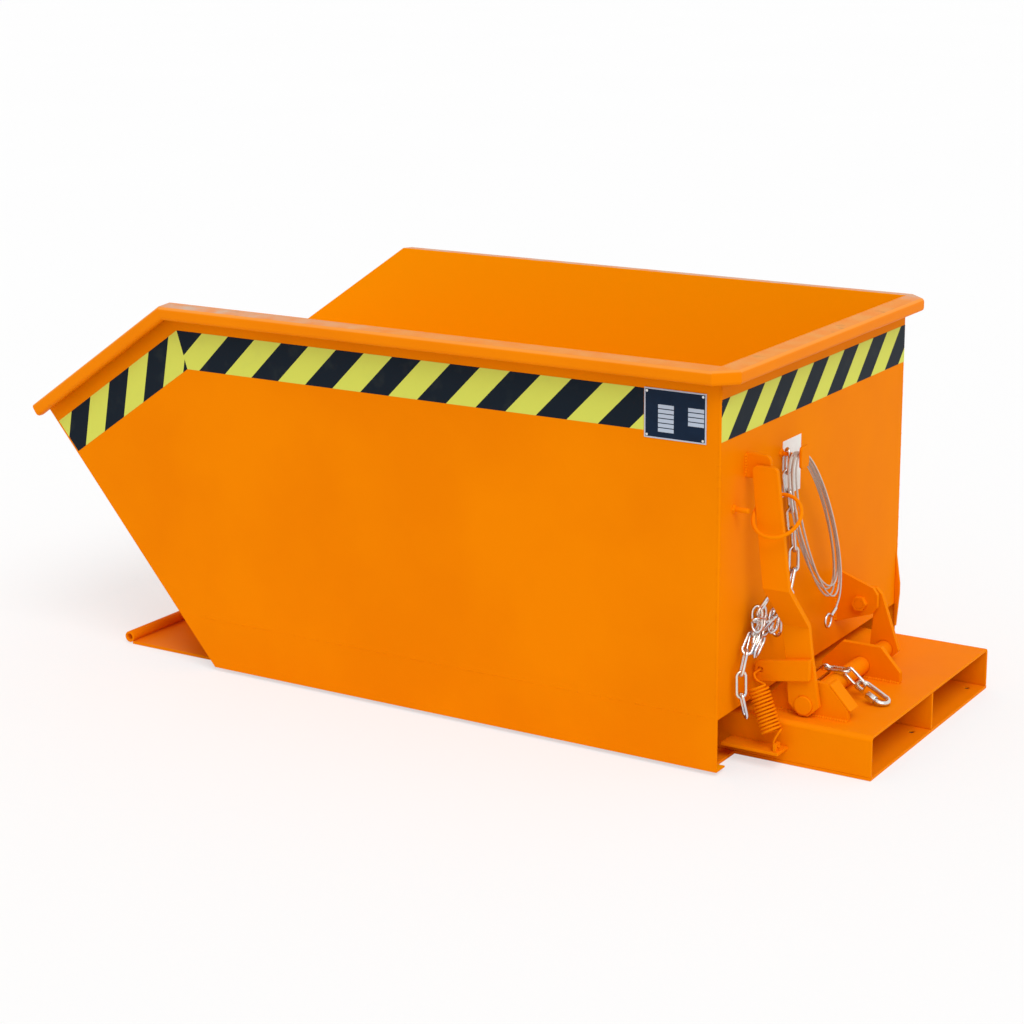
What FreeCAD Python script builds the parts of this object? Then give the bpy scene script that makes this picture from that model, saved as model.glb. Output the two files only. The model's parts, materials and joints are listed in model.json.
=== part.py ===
import FreeCAD, Part
import math
import os
import re

import Sketcher
from FreeCAD import Placement, Rotation, Vector

# Low tipping skip for fork trucks: a sheet steel skip that tips over a hinge rod at the front
# edge of a fork base, held down at the back by a spring-loaded latch lever.
# Frame: +X to the fork entry, -Y to the lever side, +Z up. X = 0 is the outside of the rear
# wall, Y = 0 the middle of the width, Z = 0 the ground. Lengths are millimetres.

doc = FreeCAD.newDocument("TippingSkip")
sheet = doc.addObject("Spreadsheet::Sheet", "Sizes")

SIZES = {
    # Skip
    "skip_width": 690, "skip_sheet": 3, "wall_low": 6, "bottom_length": 980,
    "lip_reach": 1342, "lip_height": 440, "top_length": 1045, "wall_top": 642,
    "floor_level": 91, "flange_width": 29, "corner_round": 2,
    # Folded rim
    "rim_out": 33, "rim_fall": 2.5, "rim_face": 22, "rim_return": 14, "rim_sheet": 3,
    # Hazard tape, rating plate and label
    "film": 0.4, "tape_height": 64.5, "tape_drop": 46, "tape_inset": 4, "rear_tape_drop": 51,
    "plate_width": 105, "plate_height": 77, "plate_thick": 1, "plate_inset": 24,
    "plate_drop": 44, "rivet_radius": 2, "rivet_head": 1, "rivet_inset": 5,
    "label_width": 66, "label_height": 90, "label_side": 2.5, "label_hang": 70,
    # Fork base
    "base_width": 487, "base_height": 72, "base_rear": 212, "box_front": 860,
    "base_sheet": 5, "deck_bend": 8, "deck_inner_bend": 3, "wide_width": 612,
    "wide_rear": 20, "web_thick": 5, "drain_radius": 5, "drain_inset": 24,
    # Front hinge
    "hinge_x": 1208, "hinge_z": 12, "tube_radius": 10, "rod_radius": 6, "press_gap": 0.05,
    "rod_recess": 40, "lug_thick": 10, "lug_gap": 0.4, "lug_y": 140, "eye_radius": 11,
    "eye_gap": 1.5, "lug_foot": 70, "lug_root": 24,
    # Floor bearers
    "bearer_width": 40, "bearer_y": 150, "bearer_front": 820, "bearer_rear": 30,
    # Latch shaft and its brackets
    "shaft_x": 85, "shaft_z": 92, "shaft_radius": 15, "shaft_inset": 21.5, "run_fit": 0.05,
    "bracket_half": 69, "bracket_shoulder": 18, "bracket_top": 128, "bracket_crown": 34,
    "bracket_thick": 10, "bracket_inset": 44.5, "bracket_centre_y": 5,
    "stop_thick": 5, "stop_width": 30, "washer_out": 19, "washer_thick": 3,
    # Lever
    "lever_thick": 9, "lever_inset": 29.5, "lever_outset": 25.5, "joggle_low": 218,
    "joggle_high": 289, "lever_top": 479, "lever_width": 46, "lever_top_x": 58,
    "lever_knee_x": 98, "lever_knee_z": 168, "hub_flat": 7.5, "hub_drop": 17.8, "hub_half": 26,
    "lever_round": 8, "arm_low": 120, "arm_high": 154, "arm_front": 5, "arm_rear": 98,
    "arm_thick": 9.5, "arm_rise": 16, "arm_hole_x": 14, "arm_hole_z": 141, "arm_hole": 5, "arm_round": 8,
    # Hook on the shaft, catch on the skip
    "hook_thick": 10, "hook_gap": 3, "hook_top": 196, "hook_back": 78, "hook_nose_x": 55,
    "hook_nose_z": 187, "hook_throat": 66, "hook_throat_z": 178,
    "catch_y": 83, "catch_thick": 8, "catch_low": 130, "catch_high": 221, "catch_tip": 75,
    "catch_tip_height": 44, "pin_x": 45, "pin_z": 169, "pin_radius": 8, "pin_out": 18,
    "nut_radius": 13, "nut_thick": 9,
    # Pieces welded to the rear wall
    "gusset_inset": 3.5, "gusset_thick": 6, "gusset_out": 9, "gusset_high": 190,
    "gusset_low": 50, "gusset_waist": 4, "keeper_drop": 148, "keeper_height": 38,
    "keeper_out": 42, "keeper_thick": 8, "keeper_gap": 3, "keeper_round": 11,
    "stub_side": 30, "stub_z": 415, "stub_long": 26, "stub_radius": 4,
    "hook_y": -138, "neck_drop": 178, "neck_thick": 6, "neck_width": 5, "neck_long": 37,
    "tab_thick": 5, "tab_width": 28, "tab_high": 20, "tab_drop": 15,
    "tab_round": 6,
    # Lock ring on the lever
    "ring_x": 58.1, "ring_z": 405, "ring_radius": 38, "ring_wire": 3, "ring_tilt": 45,
    # Return spring
    "ledge_front": 27, "ledge_rear": 72, "ledge_z": 25, "ledge_thick": 5, "ledge_width": 36,
    "anchor_x": 64, "anchor_out": 24.5, "anchor_top": 42, "anchor_thick": 5, "anchor_half": 8,
    "anchor_hole_z": 37, "anchor_hole": 2.5, "spring_wire": 1.9,
    "spring_radius": 15.5, "spring_out": 22, "spring_hook": 22, "hook_bend": 6,
    # Safety chain and its quick link
    "chain_wire": 2.5, "chain_pitch": 35, "chain_width": 20, "chain_slack": 0.9,
    "chain_lift": 2.6,
    "chain_x": 11, "lay_x": 12, "lay_y": 100, "lay_rise": 4.4, "link_wire": 4, "link_length": 70,
    "link_width": 32, "link_slack": 7.9, "link_gate": 11,
    "sleeve_radius": 7, "sleeve_long": 17, "sleeve_fit": 0.1,
    # Release rope
    "rope_radius": 1.5, "rope_lift": 0.8, "rope_x": 19.6, "rope_step": 3.7, "hank_high": 274,
    "hank_half": 56, "hank_lean": 142, "rope_tail": 30, "ferrule_radius": 3,
    "ferrule_long": 20, "eye_wire": 2, "thimble_radius": 11,
}

for row, (alias, number) in enumerate(SIZES.items(), start=1):
    sheet.set(f"A{row}", alias)
    sheet.set(f"B{row}", str(number))
    sheet.setAlias(f"B{row}", alias)
doc.recompute()

WORDS = re.compile(r"[a-z][a-z_]*")
FUNCTIONS = {"sqrt", "sin", "cos", "tan"}
PLANE_ROLE = {"XY": "XY_Plane", "XZ": "XZ_Plane", "YZ": "YZ_Plane"}
subparts = []


def size(alias):
    """The number in one cell of the sheet."""
    return float(sheet.get(alias))


def bound(text):
    """An expression on sheet cells, from a sum written in their plain names."""
    return WORDS.sub(lambda m: m[0] if m[0] in FUNCTIONS else "Sizes." + m[0], text)


def keep(item, label):
    """Give a finished sub-part its name and list it for the files."""
    item.Label = label
    subparts.append(item)
    return item


def outline_sketch(body, plane, outline, holes, offset):
    """A sketch of a closed outline and round holes, every point tied to the sheet."""
    sketch = body.newObject("Sketcher::SketchObject", "Outline")
    role = PLANE_ROLE[plane]
    origin = next(f for f in body.Origin.OriginFeatures if f.Role == role)
    sketch.AttachmentSupport = [(origin, "")]
    sketch.MapMode = "FlatFace"
    sketch.setExpression("AttachmentOffset.Base.z", bound(offset))

    def tie(kind, geometry, point, text):
        if point:
            rule = Sketcher.Constraint(kind, -1, 1, geometry, point, 1.0)
        else:
            rule = Sketcher.Constraint(kind, geometry, 1.0)
        index = sketch.addConstraint(rule)
        sketch.setExpression(f"Constraints[{index}]", bound(text))

    count = len(outline)
    spread = [2 * math.pi * i / count for i in range(count)]
    guess = [Vector(math.cos(a), math.sin(a), 0) for a in spread]
    for i in range(count):
        sketch.addGeometry(Part.LineSegment(guess[i], guess[(i + 1) % count]))
    for i in range(count):
        sketch.addConstraint(Sketcher.Constraint("Coincident", i, 2, (i + 1) % count, 1))
    for i, (across, along) in enumerate(outline):
        tie("DistanceX", i, 1, across)
        tie("DistanceY", i, 1, along)
    for across, along, radius in holes:
        index = sketch.addGeometry(Part.Circle(Vector(0, 0, 0), Vector(0, 0, 1), 1))
        tie("Radius", index, 0, radius)
        tie("DistanceX", index, 3, across)
        tie("DistanceY", index, 3, along)
    return sketch


def add_plate(body, plane, outline, low, high, holes=()):
    """Pad an outline between two places on the axis square to its plane."""
    offset = f"-({high})" if plane == "XZ" else low
    sketch = outline_sketch(body, plane, outline, holes, offset)
    pad = body.newObject("PartDesign::Pad", "Plate")
    pad.Profile = sketch
    pad.setExpression("Length", bound(f"({high}) - ({low})"))
    doc.recompute()
    return pad


def round_edges(body, base, axis, corners, radius):
    """Round the edges along an axis that stand at the named corners."""
    names = []
    for index, edge in enumerate(base.Shape.Edges, start=1):
        start, end = edge.Vertexes[0].Point, edge.Vertexes[-1].Point
        along = end - start
        if along.Length < 1e-6 or abs(abs(along.normalize().dot(axis)) - 1) > 1e-6:
            continue
        if any((start - c).cross(axis).Length < 1e-3 for c in corners):
            names.append(f"Edge{index}")
    fillet = body.newObject("PartDesign::Fillet", "Round")
    fillet.Base = (base, names)
    fillet.setExpression("Radius", bound(radius))
    doc.recompute()
    return fillet


def plate(label, plane, outline, low, high, holes=()):
    """A flat piece: one outline padded between two places."""
    body = doc.addObject("PartDesign::Body", "Piece")
    add_plate(body, plane, outline, low, high, holes)
    return keep(body, label)


def disc(label, plane, across, along, radius, low, high, bore=None):
    """A round piece along the axis square to a plane, solid or with a bore."""
    rings = [(across, along, radius)]
    if bore:
        rings.append((across, along, bore))
    return plate(label, plane, [], low, high, rings)


def box_outline(left, right, low, high):
    """The four corners of an upright rectangle."""
    return [(left, low), (right, low), (right, high), (left, high)]


def shape_piece(label, shape):
    """A sub-part whose form comes from Part's own functions."""
    piece = doc.addObject("Part::Feature", "Form")
    piece.Shape = shape
    return keep(piece, label)


def group(label, bodies):
    """Like pieces that share one node."""
    for body in bodies:
        subparts.remove(body)
    bundle = doc.addObject("Part::Compound", "Group")
    bundle.Links = bodies
    return keep(bundle, label)


# Fork base: floor plate, folded deck with its web, and the hinge tubes at the front edge.
half_wide = "wide_width / 2"
half_base = "base_width / 2"
plate_front = "-(hinge_x - sqrt(tube_radius ^ 2 - (hinge_z - base_sheet) ^ 2))"
notch_back = "-(hinge_x - eye_radius - eye_gap)"


def lug_edge(side, edge):
    """The place across the width of one edge of the slot for a hinge lug."""
    return f"{side} * lug_y {edge} (lug_thick / 2 + eye_gap)"


floor_outline = [("base_rear", f"-{half_base}"), ("base_rear", half_base),
                 ("-wide_rear", half_base), ("-wide_rear", half_wide),
                 (plate_front, half_wide)]
for side in (1, -1):
    floor_outline += [(plate_front, lug_edge(side, "+")), (notch_back, lug_edge(side, "+")),
                      (notch_back, lug_edge(side, "-")), (plate_front, lug_edge(side, "-"))]
floor_outline += [(plate_front, f"-{half_wide}"), ("-wide_rear", f"-{half_wide}"),
                  ("-wide_rear", f"-{half_base}")]
drains = []
for side in (1, -1):
    for edge in ("web_thick / 2 + drain_inset", f"{half_base} - base_sheet - drain_inset"):
        drains.append(("base_rear - drain_inset", f"{side} * ({edge})", "drain_radius"))
plate("base_floor_plate", "XY", floor_outline, "0", "base_sheet", drains)

deck = doc.addObject("PartDesign::Body", "Piece")
deck_section = [(f"-{half_base}", "base_sheet"), (f"-({half_base} - base_sheet)", "base_sheet"),
                (f"-({half_base} - base_sheet)", "base_height - base_sheet"),
                (f"{half_base} - base_sheet", "base_height - base_sheet"),
                (f"{half_base} - base_sheet", "base_sheet"), (half_base, "base_sheet"),
                (half_base, "base_height"), (f"-{half_base}", "base_height")]
deck_pad = add_plate(deck, "YZ", deck_section, "-box_front", "base_rear")
deck_half = size("base_width") / 2
deck_inside = deck_half - size("base_sheet")
bends = [Vector(0, s * deck_half, size("base_height")) for s in (1, -1)]
deck_round = round_edges(deck, deck_pad, Vector(1, 0, 0), bends, "deck_bend")
inner_bends = [Vector(0, s * deck_inside, size("base_height") - size("base_sheet")) for s in (1, -1)]
round_edges(deck, deck_round, Vector(1, 0, 0), inner_bends, "deck_inner_bend")
keep(deck, "base_deck")
plate("pocket_web", "YZ", box_outline("-web_thick / 2", "web_thick / 2", "base_sheet",
                                      "base_height - base_sheet"), "-box_front", "base_rear")

slot = "(lug_thick / 2 + lug_gap)"
tube_spans = [(f"-({half_wide})", f"-lug_y - {slot}"), (f"-lug_y + {slot}", f"lug_y - {slot}"),
              (f"lug_y + {slot}", half_wide)]
tubes = [disc("tube", "XZ", "-hinge_x", "hinge_z", "tube_radius", low, high,
              "rod_radius + press_gap") for low, high in tube_spans]
group("front_tubes", tubes)
disc("hinge_rod", "XZ", "-hinge_x", "hinge_z", "rod_radius", f"-{half_wide} + rod_recess",
     f"{half_wide} - rod_recess")

# Latch brackets on the deck, and the stop strip on the near one.
bracket_outline = [("shaft_x - bracket_half", "base_height"),
                   ("shaft_x + bracket_half", "base_height"),
                   ("shaft_x + bracket_half", "base_height + bracket_shoulder"),
                   ("shaft_x + bracket_crown", "bracket_top"),
                   ("shaft_x - bracket_crown", "bracket_top"),
                   ("shaft_x - bracket_half", "base_height + bracket_shoulder")]
shaft_bore = [("shaft_x", "shaft_z", "shaft_radius + run_fit")]
near_low = f"-({half_base} - bracket_inset) - bracket_thick / 2"
near_high = f"-({half_base} - bracket_inset) + bracket_thick / 2"
centre_low = "bracket_centre_y - bracket_thick / 2"
centre_high = "bracket_centre_y + bracket_thick / 2"
plate("latch_bracket_near", "XZ", bracket_outline, near_low, near_high, shaft_bore)
plate("latch_bracket_centre", "XZ", bracket_outline, centre_low, centre_high, shaft_bore)
stop_outline = [("shaft_x + bracket_half", "base_height + bracket_shoulder"),
                ("shaft_x + bracket_half + stop_thick", "base_height + bracket_shoulder"),
                ("shaft_x + bracket_crown + stop_thick", "bracket_top"),
                ("shaft_x + bracket_crown", "bracket_top")]
plate("latch_stop", "XZ", stop_outline, near_low, f"{near_low} + stop_width")

# Ledge and eye for the lower end of the return spring, on the near side of the deck.
plate("spring_ledge", "XZ", box_outline("-ledge_front", "ledge_rear", "ledge_z",
                                        "ledge_z + ledge_thick"),
      f"-{half_base} - ledge_width", f"-{half_base}")
anchor_mid = f"-({half_base} + anchor_out)"
plate("spring_anchor", "YZ", box_outline(f"{anchor_mid} - anchor_half", f"{anchor_mid} + anchor_half",
                                         "ledge_z + ledge_thick", "anchor_top"),
      "anchor_x - anchor_thick / 2", "anchor_x + anchor_thick / 2",
      [(anchor_mid, "anchor_hole_z", "anchor_hole")])

# Skip: side walls with an inward flange, rear wall, floor, chute and bearers.
half_skip = "skip_width / 2"
side_outline = [("0", "wall_low"), ("-bottom_length", "wall_low"), ("-lip_reach", "lip_height"),
                ("-top_length", "wall_top"), ("0", "wall_top")]


def side_wall(label, side):
    """One side wall: the plate, its bottom flange and the softened rear edge."""
    outer = f"{side} * {half_skip}"
    inner_face = f"{side} * ({half_skip} - skip_sheet)"
    flange_edge = f"{side} * ({half_skip} - flange_width)"
    low, high = (inner_face, outer) if side > 0 else (outer, inner_face)
    body = doc.addObject("PartDesign::Body", "Piece")
    add_plate(body, "XZ", side_outline, low, high)
    flange = [("0", inner_face), ("-bottom_length", inner_face), ("-bottom_length", flange_edge),
              ("0", flange_edge)]
    pad = add_plate(body, "XY", flange, "wall_low", "wall_low + skip_sheet")
    corner = Vector(0, side * size("skip_width") / 2, 0)
    round_edges(body, pad, Vector(0, 0, 1), [corner], "corner_round")
    keep(body, label)


side_wall("side_wall_near", -1)
side_wall("side_wall_far", 1)
inside = f"{half_skip} - skip_sheet"
plate("rear_wall", "YZ", box_outline(f"-({inside})", inside, "floor_level", "wall_top"),
      "-skip_sheet", "0")

slope = "((lip_reach - bottom_length) / (lip_height - wall_low))"
chute_run = f"(skip_sheet * sqrt(1 + {slope} ^ 2))"
chute_foot = f"(bottom_length + (floor_level - wall_low) * {slope})"
floor_section = [("-skip_sheet", "floor_level"), (f"-{chute_foot} + {chute_run}", "floor_level"),
                 (f"-{chute_foot} + {chute_run} - skip_sheet * {slope}", "floor_level + skip_sheet"),
                 ("-skip_sheet", "floor_level + skip_sheet")]
plate("floor_panel", "XZ", floor_section, f"-({inside})", inside)
chute_section = [(f"-{chute_foot}", "floor_level"), ("-lip_reach", "lip_height"),
                 (f"-lip_reach + {chute_run}", "lip_height"),
                 (f"-{chute_foot} + {chute_run}", "floor_level")]
plate("chute_panel", "XZ", chute_section, f"-({inside})", inside)
bearers = [plate("bearer", "XY", [("-bearer_front", f"{side} * bearer_y - bearer_width / 2"),
                                  ("-bearer_rear", f"{side} * bearer_y - bearer_width / 2"),
                                  ("-bearer_rear", f"{side} * bearer_y + bearer_width / 2"),
                                  ("-bearer_front", f"{side} * bearer_y + bearer_width / 2")],
                 "base_height", "floor_level") for side in (1, -1)]
group("floor_bearers", bearers)

# Hinge lugs under the chute, each with an eye round the hinge rod.
lug_heel = f"(floor_level + (hinge_x - {chute_foot} - lug_root) / {slope})"


def hinge_lug(label, side):
    """A gusset that carries the chute on the hinge rod."""
    low = f"{side} * lug_y - lug_thick / 2"
    high = f"{side} * lug_y + lug_thick / 2"
    body = doc.addObject("PartDesign::Body", "Piece")
    add_plate(body, "XZ", [], low, high, [("-hinge_x", "hinge_z", "eye_radius")])
    arm = [("-hinge_x - eye_radius", "hinge_z"), ("-hinge_x + eye_radius", "hinge_z"),
           (f"-{chute_foot} + lug_foot", "floor_level"), (f"-{chute_foot}", "floor_level"),
           ("-hinge_x + lug_root", lug_heel)]
    add_plate(body, "XZ", arm, low, high)
    bore = outline_sketch(body, "XZ", [], [("-hinge_x", "hinge_z", "rod_radius + run_fit")],
                          f"-({high})")
    pocket = body.newObject("PartDesign::Pocket", "Bore")
    pocket.Profile = bore
    pocket.Type = "ThroughAll"
    pocket.Midplane = True
    doc.recompute()
    keep(body, label)


hinge_lug("hinge_lug_near", -1)
hinge_lug("hinge_lug_far", 1)

# Folded rim: one section carried round the sides, the back and the welded corners.


def rim_section(origin, out, up):
    """The folded section of the rim at a place, looking along its run."""
    rise = size("rim_fall")
    face = size("rim_face")
    deep = size("rim_out")
    wall = size("rim_sheet")
    tuck = deep - size("rim_return")
    spots = [(0, 0), (deep, -rise), (deep, -rise - face), (tuck, -rise - face),
             (tuck, -rise - face + wall), (deep - wall, -rise - face + wall),
             (deep - wall, -rise - wall), (0, -wall)]
    return Part.makePolygon([origin + out * u + up * v for u, v in spots + spots[:1]])


top = size("wall_top")
half_y = size("skip_width") / 2
bend_point = Vector(-size("top_length"), 0, top)
lip_point = Vector(-size("lip_reach"), 0, size("lip_height"))
level = Vector(0, 0, 1)


def side_rim(label, side):
    """The rim along one side, mitred where it turns down to the lip."""
    out = Vector(0, side, 0)
    shift = out * half_y
    path = Part.makePolygon([Vector(0, 0, top) + shift, bend_point + shift, lip_point + shift])
    pipe = Part.BRepOffsetAPI.MakePipeShell(path)
    pipe.setTransitionMode(1)
    pipe.add(rim_section(Vector(0, 0, top) + shift, out, level))
    pipe.build()
    pipe.makeSolid()
    shape_piece(label, pipe.shape())


def corner_rim(label, side):
    """The chamfered corner piece between a side run and the rear run."""
    corner = Vector(0, side * half_y, top)
    first = rim_section(corner, Vector(0, side, 0), level)
    second = rim_section(corner, Vector(1, 0, 0), level)
    spots = [v.Point for v in first.OrderedVertexes]
    ends = [v.Point for v in second.OrderedVertexes]
    faces = []
    count = len(spots)
    for i in range(count):
        j = (i + 1) % count
        ring = [spots[i], spots[j], ends[j], ends[i]]
        points = [p for k, p in enumerate(ring) if (p - ring[k - 1]).Length > 1e-6]
        if len(points) > 2:
            faces.append(Part.Face(Part.makePolygon(points + points[:1])))
    faces += [Part.Face(first), Part.Face(second)]
    solid = Part.makeSolid(Part.makeShell(faces))
    if solid.Volume < 0:
        solid.reverse()
    shape_piece(label, solid)


for name, side in (("near", -1), ("far", 1)):
    side_rim(f"rim_{name}", side)
    corner_rim(f"rim_corner_{name}", side)
rear_rim = Part.Face(rim_section(Vector(0, -half_y, top), Vector(1, 0, 0), level))
shape_piece("rim_rear", rear_rim.extrude(Vector(0, 2 * half_y, 0)))

# Hazard tape: thin film, mitred at the bend and cut along the front edge.
slope_way = (lip_point - bend_point).normalize()
slope_out = Vector(slope_way.z, 0, -slope_way.x)
front_way = (lip_point - Vector(-size("bottom_length"), 0, size("wall_low"))).normalize()
tape_start = -size("plate_inset") - size("plate_width") - size("rivet_head")
half_bend = math.tan(math.acos(-slope_way.x) / 2)


def film_face(points, normal):
    """A closed film of even thickness on a flat outline."""
    face = Part.Face(Part.makePolygon(points + points[:1]))
    return face.extrude(normal * size("film"))


def side_tapes(name, side):
    """The level run and the sloped run of tape on one side wall."""
    place = Vector(0, side * half_y, 0)
    drops = (size("tape_drop"), size("tape_drop") + size("tape_height"))
    turn = [bend_point + Vector(d * half_bend, 0, -d) + place for d in drops]
    rear = [Vector(tape_start, 0, top - d) + place for d in drops]
    inset = front_way.cross(Vector(0, 1, 0)) * -size("tape_inset")
    across = slope_out.dot(front_way)
    front = [lip_point + front_way * (-d / abs(across)) + inset + place for d in drops]
    normal = Vector(0, side, 0)
    shape_piece(f"tape_side_{name}", film_face([rear[0], turn[0], turn[1], rear[1]], normal))
    shape_piece(f"tape_slope_{name}", film_face([turn[0], front[0], front[1], turn[1]], normal))


side_tapes("near", -1)
side_tapes("far", 1)
tape_edge = f"({half_skip} - corner_round)"
plate("tape_rear", "YZ", box_outline(f"-{tape_edge}", tape_edge,
                                     "wall_top - rear_tape_drop - tape_height", "wall_top - rear_tape_drop"),
      "0", "film")

# Rating plate, left blank, with its rivets, and a blank label on the rear wall.
plate_rear = "-plate_inset"
plate_low = "(wall_top - plate_drop - plate_height)"
wall_face = f"-{half_skip}"
plate_face = f"-{half_skip} - plate_thick"
plate("rating_plate", "XZ", box_outline("-plate_inset - plate_width", plate_rear, plate_low,
                                        "wall_top - plate_drop"), plate_face, wall_face)
rivets = []
for across in ("-plate_inset - rivet_inset", "-plate_inset - plate_width + rivet_inset"):
    for along in (f"{plate_low} + rivet_inset", "wall_top - plate_drop - rivet_inset"):
        rivets.append(disc("rivet", "XZ", across, along, "rivet_radius",
                           f"{plate_face} - rivet_head", plate_face))
group("plate_rivets", rivets)
neck_low = "(wall_top - neck_drop)"
label_left = "hook_y + neck_width / 2 + label_side"
label_right = f"{label_left} + label_width"
label_low = f"{neck_low} - label_hang"
label_top = f"{label_low} + label_height"
label_outline = box_outline(label_left, label_right, label_low, label_top)
plate("blank_label", "YZ", label_outline, "0", "film")

# Latch: shaft, washers, lever with its arm, hook for the catch.
hook_low = "catch_y + catch_thick + hook_gap"
hook_high = f"{hook_low} + hook_thick"
lever_low = f"({half_base} - lever_inset)"
lever_high = f"({half_base} + lever_outset)"
lever_face = f"-{lever_low} - lever_thick / 2"
lever_back = f"-{lever_low} + lever_thick / 2"
disc("latch_shaft", "XZ", "shaft_x", "shaft_z", "shaft_radius", f"-({half_base} - shaft_inset)",
     hook_high)
washers = [disc("washer", "XZ", "shaft_x", "shaft_z", "washer_out", low, high,
                "shaft_radius + run_fit")
           for low, high in ((lever_back, f"{near_low} - run_fit"),
                             (f"{centre_high} + run_fit", f"{centre_high} + washer_thick"))]
group("shaft_washers", washers)

hub_outline = [("shaft_x - hub_half", "shaft_z"), ("shaft_x - hub_flat", "shaft_z - hub_drop"),
               ("shaft_x + hub_flat", "shaft_z - hub_drop"), ("shaft_x + hub_half", "shaft_z")]
lever_profile = hub_outline + [
                 ("lever_knee_x", "lever_knee_z"), ("lever_top_x", "lever_top"),
                 ("lever_top_x - lever_width + arm_round / 2", "lever_top"),
                 ("lever_knee_x - lever_width", "lever_knee_z")]
lever_side = doc.addObject("PartDesign::Body", "LeverSide")
side_pad = add_plate(lever_side, "XZ", lever_profile, f"-{lever_high} - lever_thick",
                     f"-{lever_low} + lever_thick", shaft_bore)
lever_corners = [Vector(size("lever_top_x"), 0, size("lever_top")),
                 Vector(size("lever_top_x") - size("lever_width") + size("arm_round") / 2, 0,
                        size("lever_top"))]
round_edges(lever_side, side_pad, Vector(0, 1, 0), lever_corners, "lever_round")
joggle_faces = []
for across, shift in (("- lever_thick / 2", "0"), ("+ lever_thick / 2", "lever_thick / 2")):
    joggle_faces.append([(f"-{lever_low} {across}", "base_height"),
                         (f"-{lever_low} {across}", f"joggle_low + {shift}"),
                         (f"-{lever_high} {across}", f"joggle_high + {shift}"),
                         (f"-{lever_high} {across}", "lever_top + lever_thick")])
lever_strip = doc.addObject("PartDesign::Body", "LeverStrip")
add_plate(lever_strip, "YZ", joggle_faces[0] + joggle_faces[1][::-1], "0",
          "shaft_x + bracket_half")
lever = doc.addObject("Part::MultiCommon", "Lever")
lever.Shapes = [lever_side, lever_strip]
keep(lever, "latch_lever")

arm = doc.addObject("PartDesign::Body", "Piece")
arm_outline = [("arm_front", "arm_low"), ("arm_rear", "arm_low + arm_rise"),
               ("arm_rear", "arm_high + arm_rise"), ("arm_front", "arm_high")]
arm_pad = add_plate(arm, "XZ", arm_outline, f"{lever_face} - arm_thick", lever_face,
                    [("arm_hole_x", "arm_hole_z", "arm_hole")])
arm_corners = [Vector(size("arm_front"), 0, size("arm_low")),
               Vector(size("arm_front"), 0, size("arm_high"))]
round_edges(arm, arm_pad, Vector(0, 1, 0), arm_corners, "arm_round")
keep(arm, "latch_arm")

hook_profile = hub_outline + [("hook_back", "hook_top - hook_thick"),
                ("hook_back - hook_thick", "hook_top"), ("hook_nose_x + hook_gap", "hook_top"),
                ("hook_nose_x", "hook_nose_z"), ("hook_throat", "hook_throat_z")]
plate("latch_hook", "XZ", hook_profile, hook_low, hook_high, shaft_bore)

# Catch on the rear wall: a pointed plate, its pin and the nut behind the pin's head.
catch_mid = "(catch_low + catch_high) / 2"
catch_outline = [("0", "catch_low"),
                 ("catch_tip - catch_thick", f"{catch_mid} - catch_tip_height / 2"),
                 ("catch_tip", f"{catch_mid} - catch_tip_height / 4"),
                 ("catch_tip", f"{catch_mid} + catch_tip_height / 4"),
                 ("catch_tip - catch_thick", f"{catch_mid} + catch_tip_height / 2"),
                 ("0", "catch_high")]
plate("catch_bracket", "XZ", catch_outline, "catch_y", "catch_y + catch_thick",
      [("pin_x", "pin_z", "pin_radius + press_gap")])
disc("catch_pin", "XZ", "pin_x", "pin_z", "pin_radius", "catch_y - nut_thick",
     "catch_y + catch_thick + pin_out")
nut_points = []
for corner in range(6):
    turn = math.radians(60 * corner)
    nut_points.append((f"pin_x + {math.cos(turn):.6f} * nut_radius",
                       f"pin_z + {math.sin(turn):.6f} * nut_radius"))
plate("catch_nut", "XZ", nut_points, "catch_y - nut_thick", "catch_y",
      [("pin_x", "pin_z", "pin_radius + press_gap")])

# Other pieces welded to the rear wall.
gusset_mid = "(gusset_low + gusset_high) / 2"
gusset_outline = [("0", "floor_level"), ("0", "gusset_low"), ("gusset_waist", "gusset_low"),
                  ("gusset_out", f"{gusset_mid} - gusset_out"),
                  ("gusset_out", f"{gusset_mid} + gusset_out"), ("0", "gusset_high")]
gusset_face = f"{half_skip} - gusset_inset"
plate("rear_gusset", "XZ", gusset_outline, f"{gusset_face} - gusset_thick", gusset_face)
keeper = doc.addObject("PartDesign::Body", "Piece")
keeper_near = f"-{lever_high} + lever_thick / 2 + keeper_gap"
keeper_pad = add_plate(keeper, "XZ", box_outline("0", "keeper_out", "wall_top - keeper_drop - keeper_height",
                                                 "wall_top - keeper_drop"),
                       keeper_near, f"{keeper_near} + keeper_thick")
keeper_top = top - size("keeper_drop")
keeper_corners = [Vector(size("keeper_out"), 0, keeper_top)]
round_edges(keeper, keeper_pad, Vector(0, 1, 0), keeper_corners, "keeper_round")
keep(keeper, "lever_keeper")
disc("ring_stub", "YZ", f"-{lever_high} - stub_side", "stub_z", "stub_radius", "0", "stub_long")

rope_hook = doc.addObject("PartDesign::Body", "Piece")
add_plate(rope_hook, "YZ", box_outline("hook_y - neck_width / 2", "hook_y + neck_width / 2",
                                       neck_low, f"{neck_low} + neck_thick"), "0", "neck_long")
tab_pad = add_plate(rope_hook, "YZ", box_outline("hook_y - tab_width / 2", "hook_y + tab_width / 2",
                                                 f"{neck_low} - tab_drop", f"{neck_low} + tab_high"),
                    "neck_long", "neck_long + tab_thick")
neck_z = top - size("neck_drop")
tab_corners = [Vector(0, size("hook_y") + s * size("tab_width") / 2, z) for s in (1, -1)
               for z in (neck_z - size("tab_drop"), neck_z + size("tab_high"))]
round_edges(rope_hook, tab_pad, Vector(1, 0, 0), tab_corners, "tab_round")
keep(rope_hook, "rope_hook")

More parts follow.
